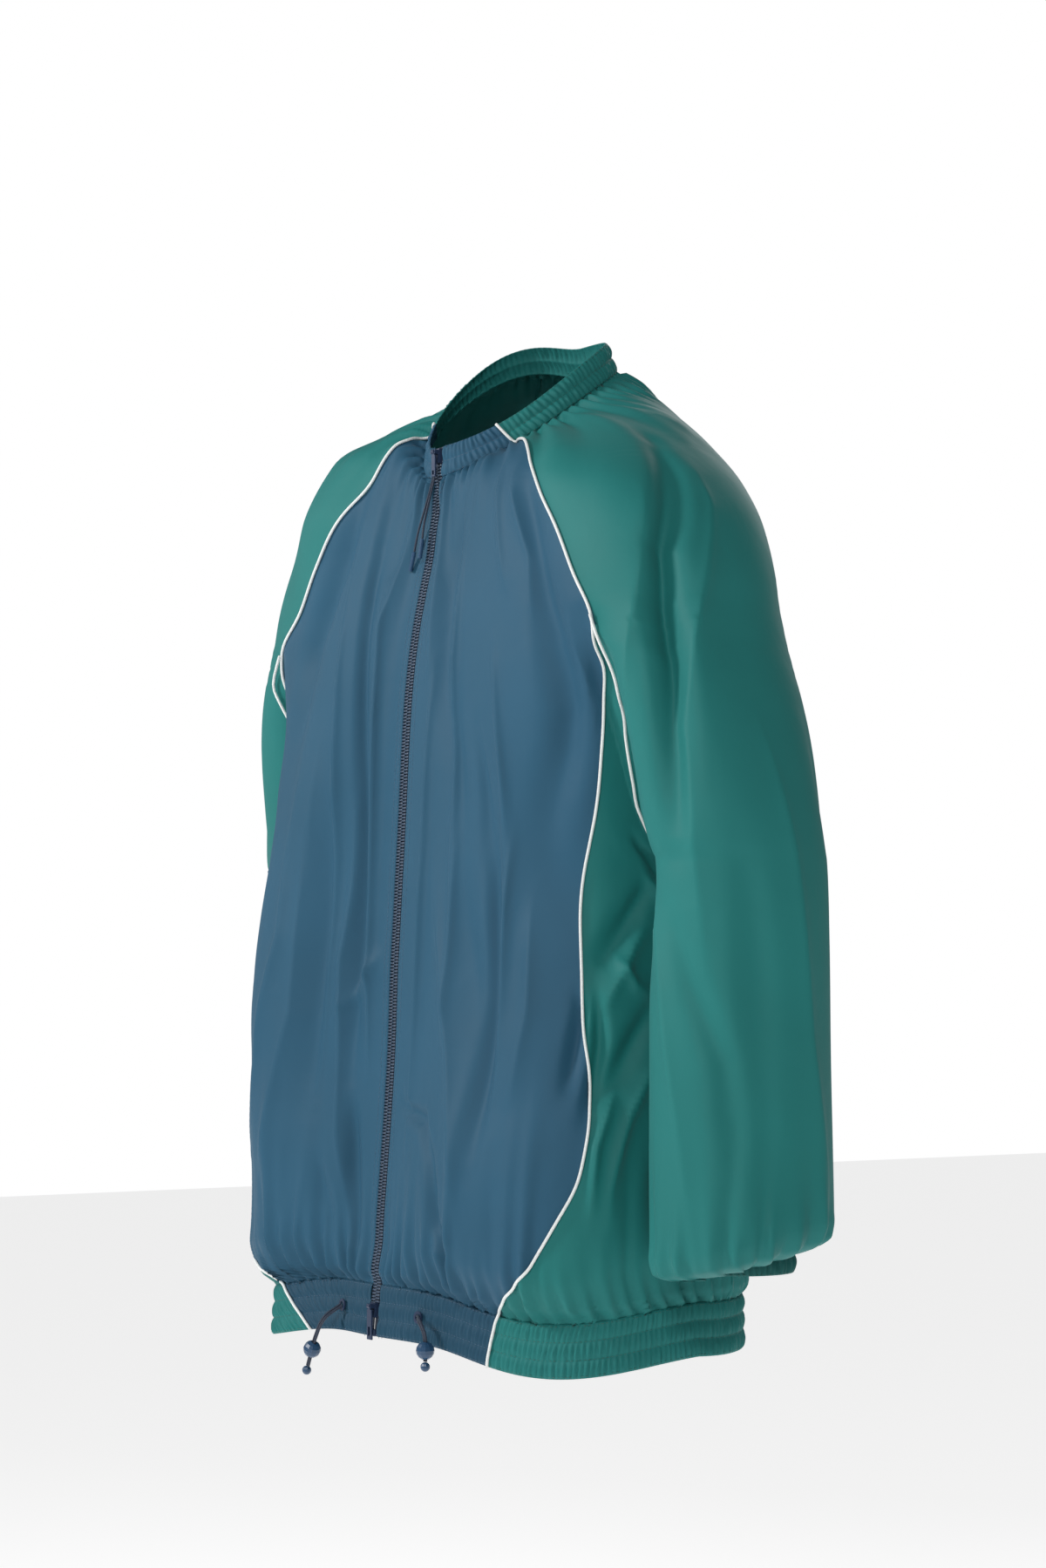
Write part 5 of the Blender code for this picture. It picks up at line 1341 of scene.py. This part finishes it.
def piping(name, path, finish):
    path = rounded(path, PIPING_ROUNDED)
    on_garment(round_tube(name + "_cord", path, PIPING / 2, finish), name)


def front_piping(name, side, finish):
    grids = front_rows(side)
    points, normals = columns_of(grids, -1, side)
    neck = len(grids[0][0])
    normals[neck - 1] += normals[neck]
    normals[neck - 1] /= np.linalg.norm(normals[neck - 1])
    piping(name, points + normals * PIPING_LIFT, finish)


def arm_piping(name, side, finish):
    joint = [Ring(SPLIT + above, side) for above in (ARM_PIPING_ABOVE, 0.0)]
    rings = [Ring(z, side) for z in ARM_LEVELS[ARM_PIPING_FROM:]]
    middles = [front_seam(ring) for ring in joint] + [arm_front(ring) for ring in rings]
    alongs = [middle + np.array([-VALLEY_SIDE, 0.0, VALLEY_SIDE]) for middle in middles]
    points, normals = cloth_grid(joint + rings, alongs, body_lift(side), side)
    out = normals[:, 0] + normals[:, 2]
    out /= np.linalg.norm(out, axis=1, keepdims=True)
    piping(name, (points[:, 1] + out * VALLEY_LIFT) * side_turn(side), finish)


def pocket(name, side, finish):
    """The pocket's bag, which hangs close inside the front behind the seam's slit."""
    levels = levels_between([POCKET_ABOVE, POCKET_BELOW], POCKET_STEP)
    rings = [Ring(z, side) for z in levels]
    alongs = spread(rings, lambda ring: front_seam(ring) - POCKET_DEEP, front_seam, POCKET_COLUMNS)
    points, normals = cloth_grid(rings, alongs, body_lift(side), side)
    points = points - normals * POCKET_INSIDE
    inner = points - normals * SHELL
    places = cloth_places(alongs, levels)
    if side < 0:
        points, inner, places = mirrored(points), mirrored(inner), places[:, ::-1]
    piece = shell(name + "_bag", points, inner, finish, places)
    on_garment(piece, name)


def zip_line():
    """The middle of the zip down the cloth's outer surface, and its outward directions."""
    middle, out = columns_of(front_rows(1), 0, 1)
    middle = rounded(middle * side_turn(0), ZIP_ROUNDED)
    out = rounded(out * side_turn(0), ZIP_ROUNDED)
    return middle, out / np.linalg.norm(out, axis=1, keepdims=True)


def zip_tapes(finish):
    """A woven strip inside each front's edge, which shows between the cloth and the teeth."""
    middle, out = zip_line()
    for side, label in SIDES:
        across = np.array([side, 0.0, 0.0])
        columns = [middle + across * line.out - out * line.sunk for line in TAPE_LINES]
        outer = np.stack(columns[::side], 1)
        inner = outer - out[:, None] * TAPE_WALL
        weave = np.arange(float(len(TAPE_LINES))) * TAPE_LINE_APART
        places = np.stack(np.broadcast_arrays(weave[None], middle[:, 2:]), -1)
        piece = shell("zip_tape_" + label + "_weave", outer, inner, finish, places)
        on_garment(piece, "zip_tape_" + label)


# ---------------------------------------------------------------- what repeats along a path


def repeat_tree():
    """Copies of a small shape at even distances along paths, turned to the cloth under them."""
    tree = bpy.data.node_groups.new("repeated along a path", "GeometryNodeTree")
    face = tree.interface
    for name, kind in (
        ("Geometry", "Geometry"), ("Spacing", "Float"), ("Repeated", "Object"),
        ("Finish", "Material"), ("Wander", "Float"), ("Seed", "Int"),
    ):
        face.new_socket(name, in_out="INPUT", socket_type="NodeSocket" + kind)
    face.new_socket("Geometry", in_out="OUTPUT", socket_type="NodeSocketGeometry")
    nodes = tree.nodes
    given = nodes.new("NodeGroupInput")
    result = nodes.new("NodeGroupOutput")
    to_curve = nodes.new("GeometryNodeMeshToCurve")
    resample = add_node(nodes, "GeometryNodeResampleCurve", mode="LENGTH")
    tangent = nodes.new("GeometryNodeInputTangent")
    outwards = add_node(nodes, "GeometryNodeInputNamedAttribute", data_type="FLOAT_VECTOR")
    outwards.inputs["Name"].default_value = "outwards"
    turn = add_node(nodes, "FunctionNodeAxesToRotation", primary_axis="X", secondary_axis="Z")
    chance = add_node(nodes, "FunctionNodeRandomValue", data_type="FLOAT_VECTOR")
    chance.inputs[0].default_value = (-1.0, -1.0, -1.0)
    chance.inputs[1].default_value = (1.0, 1.0, 1.0)
    away = add_node(nodes, "ShaderNodeVectorMath", operation="SCALE")
    skew = add_node(nodes, "FunctionNodeRotateRotation", rotation_space="LOCAL")
    shape = nodes.new("GeometryNodeObjectInfo")
    stand = nodes.new("GeometryNodeInstanceOnPoints")
    real = nodes.new("GeometryNodeRealizeInstances")
    finish = nodes.new("GeometryNodeSetMaterial")
    for start, given_by, end, taken_by in (
        (given, "Geometry", to_curve, "Mesh"),
        (to_curve, "Curve", resample, "Curve"),
        (given, "Spacing", resample, "Length"),
        (resample, "Curve", stand, "Points"),
        (given, "Repeated", shape, "Object"),
        (shape, "Geometry", stand, "Instance"),
        (tangent, "Tangent", turn, "Primary Axis"),
        (outwards, "Attribute", turn, "Secondary Axis"),
        (given, "Seed", chance, "Seed"),
        (chance, 0, away, 0),
        (given, "Wander", away, "Scale"),
        (turn, "Rotation", skew, "Rotation"),
        (away, "Vector", skew, "Rotate By"),
        (skew, "Rotation", stand, "Rotation"),
        (stand, "Instances", real, "Geometry"),
        (real, "Geometry", finish, "Geometry"),
        (given, "Finish", finish, "Material"),
        (finish, "Geometry", result, "Geometry"),
    ):
        tree.links.new(start.outputs[given_by], end.inputs[taken_by])
    return tree


def path_mesh(name, paths):
    """A mesh of edges along paths, whose points keep their outward directions."""
    edges = []
    first = 0
    for path, out in paths:
        edges += [(first + k, first + k + 1) for k in range(len(path) - 1)]
        first += len(path)
    mesh = bpy.data.meshes.new(name)
    mesh.from_pydata((np.concatenate([path for path, out in paths]) * UNIT).tolist(), edges, [])
    layer = mesh.attributes.new("outwards", "FLOAT_VECTOR", "POINT")
    layer.data.foreach_set("vector", np.concatenate([out for path, out in paths]).ravel())
    return mesh


def repeated(name, tree, paths, shape, spacing, finish, wander=0.0, seed=1):
    """One plain mesh of small shapes along paths, each a pair of points and outward directions."""
    holder = placed(name + " holder", path_mesh(name + " paths", paths))
    change = holder.modifiers.new("repeat", "NODES")
    change.node_group = tree
    values = {
        "Spacing": spacing * UNIT, "Repeated": shape, "Finish": finish, "Wander": wander, "Seed": seed,
    }
    for socket in tree.interface.items_tree:
        if socket.in_out == "INPUT" and socket.name in values:
            change[socket.identifier] = values[socket.name]
    ready = holder.evaluated_get(bpy.context.evaluated_depsgraph_get())
    plain = bpy.data.meshes.new_from_object(ready)
    plain.name = name
    bpy.data.objects.remove(holder, do_unlink=True)
    plain.shade_smooth()
    return placed(name, plain)


def kept_shape(name, shape):
    """An object outside the scene, to be repeated."""
    mesh = bpy.data.meshes.new(name)
    shape.to_mesh(mesh)
    shape.free()
    return bpy.data.objects.new(name, mesh)


def stitch_shape():
    """A small rounded bar along X."""
    shape = bmesh.new()
    bmesh.ops.create_uvsphere(shape, u_segments=STITCH_SIDES, v_segments=4, radius=0.5)
    quarter = Matrix.Rotation(math.pi / 2, 3, "Y")
    bmesh.ops.rotate(shape, verts=shape.verts, cent=(0, 0, 0), matrix=quarter)
    bmesh.ops.scale(shape, verts=shape.verts, vec=[side * UNIT for side in STITCH])
    return kept_shape("stitch", shape)


def tooth_shape():
    """One moulded tooth: a block with its edges taken off."""
    shape = bmesh.new()
    bmesh.ops.create_cube(shape, size=1.0)
    bmesh.ops.scale(shape, verts=shape.verts, vec=[side * UNIT for side in TOOTH])
    bmesh.ops.bevel(shape, geom=shape.edges[:], offset=TOOTH_ROUND * UNIT, segments=1, affect="EDGES")
    return kept_shape("tooth", shape)


def zip_teeth(tree, finish):
    middle, out = zip_line()
    top = middle[0, 2] - TEETH_TOP * NECKBAND - SLIDER_HALF
    bottom = HEM_TOP - BAND_GAP - TEETH_BOTTOM * HEM_BAND + SLIDER_HALF
    keep = (middle[:, 2] < top) & (middle[:, 2] > bottom)
    paths = []
    for side, late in ((1, 0.0), (-1, TOOTH_APART / 2)):
        path = middle[keep] + np.array([side * TOOTH_OUT, 0.0, 0.0]) - out[keep] * TOOTH_SUNK
        path[:, 2] -= late
        paths.append((path, out[keep]))
    piece = repeated("zip_chain_teeth", tree, paths, tooth_shape(), TOOTH_APART, finish)
    return on_garment(piece, "zip_chain")


def zip_stitches(side):
    """Two rows of stitches beside the zip, down the front's edge."""
    rows = []
    for inset in ZIP_STITCH_IN:
        grids = [
            stretch_grid(stretch, np.full((len(stretch.rings), 1), ZIP_EDGE + inset), side)
            for stretch in front_stretches(side)
        ]
        points, normals = columns_of(grids, 0, side)
        rows.append((points + normals * ZIP_STITCH_OUT, normals))
    return rows


def band_stitches(part):
    """A row of stitches along each pinched line of a band."""
    rows = []
    for number in range(part.form.channels + 1):
        down = min(max(number / part.form.channels, BAND_STITCH_EDGE), 1 - BAND_STITCH_EDGE)
        reads = [down + step for step in (-BAND_STITCH_READ, 0.0, BAND_STITCH_READ)]
        rings = [part.kind(min(max(read, 0), 1), part.side) for read in reads]
        if part.kind is NeckRing:
            rings = rings[::-1]
        columns = int((part.end(rings[1]) - part.start(rings[1])) / BAND_STITCH_STEP)
        alongs = band_alongs(part, rings, columns)
        points, normals = cloth_grid(rings, alongs, part.lift_at, part.side)
        lift = ruffle_lift(part, alongs[1:2], np.array([[down * part.form.channels]])) + BAND_STITCH_OUT
        turn = side_turn(part.side)
        rows.append(((points[1] + normals[1] * lift[0][:, None]) * turn, normals[1] * turn))
    return rows


def stitches(tree, finishes):
    """All rows of stitches, gathered by thread colour."""
    shape = stitch_shape()
    paths = {"blue": [], "green": [], "teal": []}
    for side, label in SIDES:
        paths["blue"] += zip_stitches(side)
        for part in front_bands(side, label):
            paths[part.thread] += band_stitches(part)
    for part in back_bands():
        paths[part.thread] += band_stitches(part)
    threads = (("blue", "nylon_blue", 21), ("green", "nylon_green", 22), ("teal", "cuff_teal", 23))
    for thread, slot, seed in threads:
        piece = repeated("stitches_" + thread, tree, paths[thread], shape, STITCH_APART,
                         finishes["thread_" + thread], STITCH_WANDER, seed)
        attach(piece, "garment")


# ---------------------------------------------------------------- cords


def curve_through(route, count):
    """A smooth curve through a few chosen points, read at evenly spaced places."""
    route = np.array(route, float)
    steps = np.linalg.norm(np.diff(route, axis=0), axis=1)
    places = np.concatenate([[0.0], np.cumsum(steps)])
    slopes = np.gradient(route, places, axis=0)
    read = np.linspace(0, places[-1], count)
    k = np.clip(np.searchsorted(places, read, side="right") - 1, 0, len(steps) - 1)
    t = ((read - places[k]) / steps[k])[:, None]
    span = steps[k][:, None]
    return (
        (2 * t**3 - 3 * t**2 + 1) * route[k]
        + (t**3 - 2 * t**2 + t) * span * slopes[k]
        + (3 * t**2 - 2 * t**3) * route[k + 1]
        + (t**3 - t**2) * span * slopes[k + 1]
    )


def cord_curve(name, path, diameter, finish):
    curve = bpy.data.curves.new(name, "CURVE")
    curve.dimensions = "3D"
    curve.bevel_depth = diameter / 2 * UNIT
    curve.bevel_resolution = 4
    curve.use_fill_caps = True
    spline = curve.splines.new("POLY")
    spline.points.add(len(path) - 1)
    for point, place_at in zip(spline.points, path):
        point.co = (*(np.asarray(place_at) * UNIT), 1)
    curve.materials.append(finish)
    return placed(name, curve)


def declare_cord(name, path, diameter, body, finish):
    piece = cord_curve(name + "_braid", path, diameter, finish)
    on_garment(piece, name, body)


def puller_cords(finish):
    for strand in PULLER_STRANDS:
        path = curve_through(strand.route, PULLER_PLACES)
        declare_cord("puller_cord_" + strand.label, path, PULLER_CORD, "tab_top", finish)


def eyelet_place(side):
    """The middle of an eyelet on the hem band's gathers, and its outward direction."""
    rings = [HemRing(EYELET_DOWN + step, side) for step in (-EYELET_READ, 0.0, EYELET_READ)]
    along = rings[1].along_at_x(EYELET_OUT[side])
    points, normals = cloth_grid(rings, [[along]] * 3, hem_lift(side), side)
    out = normals[1, 0] * side_turn(side)
    above = SOLID_PUFF + 2 * SEAM_GAP + EYELET_THICK / 2
    return points[1, 0] * side_turn(side) + out * above, out


def hem_drawcords(finish):
    for side, label in SIDES:
        start, out = eyelet_place(side)
        route = np.array([start + out * EYELET_THICK / 2] + LOCK_ROUTES[side], float)
        path = curve_through(route, DRAWCORD_PLACES)
        run = np.gradient(path, axis=0)
        run /= np.linalg.norm(run, axis=1, keepdims=True)
        aside = np.cross(run, [0.0, 1.0, 0.0])
        aside /= np.linalg.norm(aside, axis=1, keepdims=True)
        for number, way in ((1, -0.5), (2, 0.5)):
            declare_cord("drawcord_%s_%d" % (label, number), path + aside * way * STRAND_APART,
                         DRAWCORD, "garment", finish)


# ---------------------------------------------------------------- materials


def add_node(nodes, kind, **values):
    made = nodes.new(kind)
    for key, value in values.items():
        setattr(made, key, value)
    return made


def shades(colour, share):
    """A darker or a lighter shade of a colour."""
    return tuple(min(1.0, share * part) for part in colour)


class Finish:
    """A material in the making: its nodes, its shader and its two kinds of places."""

    def __init__(self, name):
        self.made = bpy.data.materials.new(name)
        self.made.use_nodes = True
        tree = self.made.node_tree
        self.nodes, self.links = tree.nodes, tree.links
        self.shader = tree.nodes["Principled BSDF"]
        places = tree.nodes.new("ShaderNodeTexCoord")
        self.uv, self.here = places.outputs["UV"], places.outputs["Object"]

    def keep(self, socket, value):
        """Gives the shader a constant, or what a node makes."""
        if isinstance(value, bpy.types.NodeSocket):
            self.links.new(value, self.shader.inputs[socket])
        else:
            self.shader.inputs[socket].default_value = value

    def grain(self, places, grain):
        made = add_node(self.nodes, "ShaderNodeTexNoise", noise_type=grain.kind)
        made.inputs["Scale"].default_value = grain.scale
        made.inputs["Detail"].default_value = grain.detail
        made.inputs["Roughness"].default_value = grain.rough
        made.inputs["Distortion"].default_value = grain.distortion
        self.links.new(places, made.inputs["Vector"])
        return made.outputs["Fac"]

    def waves(self, period, direction):
        made = add_node(self.nodes, "ShaderNodeTexWave", bands_direction=direction)
        made.inputs["Scale"].default_value = 2 * math.pi / WAVE_RADIANS / (period * UNIT)
        made.inputs["Distortion"].default_value = 0.0
        self.links.new(self.uv, made.inputs["Vector"])
        return made.outputs["Fac"]

    def bump(self, height, relief, under=None):
        made = self.nodes.new("ShaderNodeBump")
        made.inputs["Strength"].default_value = relief.strength
        made.inputs["Distance"].default_value = relief.height * UNIT
        self.links.new(height, made.inputs["Height"])
        if under is not None:
            self.links.new(under, made.inputs["Normal"])
        return made.outputs["Normal"]

    def between(self, share, dark, light):
        made = add_node(self.nodes, "ShaderNodeMix", data_type="RGBA")
        self.links.new(share, made.inputs["Factor"])
        made.inputs["A"].default_value = (*dark, 1)
        made.inputs["B"].default_value = (*light, 1)
        return made.outputs["Result"]

    def ramp(self, share, low, high):
        made = self.nodes.new("ShaderNodeMapRange")
        made.inputs["To Min"].default_value = low
        made.inputs["To Max"].default_value = high
        self.links.new(share, made.inputs["Value"])
        return made.outputs["Result"]


def nylon(name, colour):
    """Crisp light nylon: a fine plain weave, soft crinkles and a low sheen."""
    finish = Finish(name)
    weave = add_node(finish.nodes, "ShaderNodeMath", operation="MULTIPLY")
    finish.links.new(finish.waves(WEAVE, "X"), weave.inputs[0])
    finish.links.new(finish.waves(WEAVE, "Y"), weave.inputs[1])
    soft = finish.bump(finish.grain(finish.here, CRUMPLE), CRUMPLE_RELIEF)
    sharp = finish.bump(finish.grain(finish.here, RIDGES), RIDGE_RELIEF, soft)
    finish.keep("Normal", finish.bump(weave.outputs[0], WEAVE_RELIEF, sharp))
    threads = finish.grain(finish.uv, THREADS)
    mixed = add_node(finish.nodes, "ShaderNodeMath", operation="MULTIPLY_ADD")
    finish.links.new(threads, mixed.inputs[0])
    mixed.inputs[1].default_value = THREAD_SHARE
    finish.links.new(finish.grain(finish.here, PATCHES), mixed.inputs[2])
    dark, light = (shades(colour, share) for share in NYLON_SHADES)
    finish.keep("Base Color", finish.between(mixed.outputs[0], dark, light))
    finish.keep("Roughness", finish.ramp(threads, *NYLON_ROUGH))
    white, own = NYLON_SHEEN_TINT
    finish.keep("Sheen Weight", NYLON_SHEEN)
    finish.keep("Sheen Roughness", NYLON_SHEEN_ROUGH)
    finish.keep("Sheen Tint", (*[min(1.0, white + own * part) for part in colour], 1))
    finish.keep("Specular IOR Level", NYLON_SPECULAR)
    return finish.made


def ribbed(name, colour, period, rough, depth, sheen=0.1):
    """Cord, piping or tape: fine threads across its length."""
    finish = Finish(name)
    strong, weak = (Relief(strength, depth) for strength in RIB_RELIEFS)
    across = finish.bump(finish.waves(period, "DIAGONAL"), strong)
    finish.keep("Normal", finish.bump(finish.waves(period * RIB_ALONG, "Y"), weak, across))
    grain = finish.grain(finish.here, CORD_GRAIN)
    finish.keep("Base Color", finish.between(grain, shades(colour, RIB_DARK), colour))
    finish.keep("Roughness", finish.ramp(grain, rough - RIB_ROUGH, rough + RIB_ROUGH))
    finish.keep("Sheen Weight", sheen)
    return finish.made


def hard(name, colour, rough, metallic):
    """Lacquered or moulded pieces, faintly worn and uneven."""
    finish = Finish(name)
    finish.keep("Normal", finish.bump(finish.grain(finish.here, HARD_GRAIN), HARD_RELIEF))
    wear = finish.grain(finish.here, WEAR)
    finish.keep("Base Color", finish.between(wear, colour, shades(colour, WORN_LIGHT)))
    finish.keep("Roughness", finish.ramp(wear, *(rough + change for change in WORN_ROUGH)))
    finish.keep("Metallic", metallic)
    return finish.made


def pale_floor():
    finish = Finish("pale floor")
    grain = finish.grain(finish.here, FLOOR_GRAIN)
    dark = shades(FLOOR_COLOUR, FLOOR_DARK)
    finish.keep("Base Color", finish.between(grain, dark, FLOOR_COLOUR))
    finish.keep("Roughness", FLOOR_ROUGH)
    finish.keep("Emission Color", (1, 1, 1, 1))
    finish.keep("Emission Strength", FLOOR_GLOW)
    return finish.made


def all_finishes():
    return {
        "nylon_blue": nylon("blue nylon", BLUE),
        # painted shade: the fronts' hem band is the blue nylon made darker, for the shade under its
        # gathers
        "band_blue_painted_shade": nylon("dark blue nylon", shades(BLUE, HEM_PAINTED_SHADE)),
        "nylon_green": nylon("green nylon", GREEN),
        "cuff_teal": nylon("dark green nylon", shades(GREEN, CUFF_SHADE)),
        "piping_white": ribbed("white piping", (0.86, 0.88, 0.86), 0.7, 0.6, 0.10, 0.2),
        "zip_navy": ribbed("navy zip tape", (0.022, 0.040, 0.078), 0.8, 0.65, 0.15),
        "teeth": hard("navy zip teeth", (0.028, 0.050, 0.085), 0.38, 0.0),
        "slider_navy": hard("navy lacquer", (0.018, 0.032, 0.070), 0.30, 0.25),
        "cord_navy": ribbed("navy braid", NAVY, 1.1, 0.62, 0.25),
        "plastic_navy": hard("navy plastic", (0.016, 0.050, 0.105), 0.24, 0.0),
        "thread_blue": ribbed("blue thread", (0.040, 0.100, 0.170), 0.4, 0.6, 0.05),
        "thread_green": ribbed("green thread", (0.014, 0.130, 0.108), 0.4, 0.6, 0.05),
        "thread_teal": ribbed("dark green thread", (0.010, 0.090, 0.075), 0.4, 0.6, 0.05),
    }


def dress_solids(finishes):
    """Solids that keep their own shape take the detailed finishes."""
    for finish, nodes in HARD_NODES.items():
        for node in nodes:
            for slot in frame["nodes"][node].material_slots:
                slot.link = "OBJECT"
                slot.material = finishes[finish]


# ---------------------------------------------------------------- camera, light and floor


def round_about(turn, away, height):
    """A place at an angle and a distance from the upright axis."""
    return Vector((math.sin(turn) * away, -math.cos(turn) * away, height))


def camera():
    made = bpy.data.cameras.new("camera")
    made.lens = LENS
    made.sensor_width = SENSOR
    made.shift_y = SHIFT_UP
    made.clip_end = VIEW_REACH
    holder = placed("camera", made)
    turn = math.radians(VIEW_TURN)
    holder.location = round_about(turn, VIEW_AWAY, VIEW_HEIGHT)
    holder.rotation_euler = (math.pi / 2, 0, turn)
    bpy.context.scene.camera = holder


def lamps():
    for number, lamp in enumerate(LAMPS):
        light = bpy.data.lights.new("soft light %d" % number, "AREA")
        light.shape = "DISK"
        light.size = lamp.size
        light.energy = lamp.power
        holder = placed(light.name, light)
        holder.location = round_about(math.radians(lamp.turn), lamp.away, lamp.height)
        aim = Vector(LAMP_AIM) - holder.location
        holder.rotation_euler = aim.to_track_quat("-Z", "Y").to_euler()


def sky():
    """A white sky to look at, which lights the cloth less than it shows."""
    world = bpy.data.worlds.new("pale studio")
    world.use_nodes = True
    nodes, links = world.node_tree.nodes, world.node_tree.links
    shown = nodes["Background"]
    shown.inputs["Color"].default_value = (1, 1, 1, 1)
    shown.inputs["Strength"].default_value = 1.0
    lighting = nodes.new("ShaderNodeBackground")
    lighting.inputs["Strength"].default_value = SKY_LIGHT
    seen = nodes.new("ShaderNodeLightPath")
    either = nodes.new("ShaderNodeMixShader")
    links.new(seen.outputs["Is Camera Ray"], either.inputs[0])
    links.new(lighting.outputs[0], either.inputs[1])
    links.new(shown.outputs[0], either.inputs[2])
    links.new(either.outputs[0], nodes["World Output"].inputs["Surface"])
    bpy.context.scene.world = world
    bpy.context.scene.view_settings.view_transform = "Standard"


def studio():
    """A pale floor under even light."""
    sky()
    floor = bpy.data.meshes.new("floor")
    corners = [(x * FLOOR_REACH, y * FLOOR_REACH, FLOOR) for x, y in ((-1, -1), (1, -1), (1, 1), (-1, 1))]
    floor.from_pydata(corners, [], [(0, 1, 2, 3)])
    floor.materials.append(pale_floor())
    placed("floor", floor)
    lamps()


# ---------------------------------------------------------------- build


def panels(finishes):
    blue, green = finishes["nylon_blue"], finishes["nylon_green"]
    for side, label in SIDES:
        body_panel("front_" + label, FRONT_LEVELS, front_edge, front_seam, FRONT_COLUMNS, side,
                   blue)
        body_panel("side_" + label, SIDE_LEVELS, front_seam, side_end, SIDE_COLUMNS, side,
                   green)
        sleeve_panel("sleeve_" + label, side, green)
        front_piping("piping_front_" + label, side, finishes["piping_white"])
        arm_piping("piping_arm_" + label, side, finishes["piping_white"])
        pocket("pocket_" + label, side, blue)
    back_panel("back", green)


def main():
    camera()
    finishes = all_finishes()
    puller_cords(finishes["cord_navy"])
    hem_drawcords(finishes["cord_navy"])
    dress_solids(finishes)
    panels(finishes)
    bands(finishes)
    zip_tapes(finishes["zip_navy"])
    tree = repeat_tree()
    zip_teeth(tree, finishes["teeth"])
    stitches(tree, finishes)
    studio()


main()
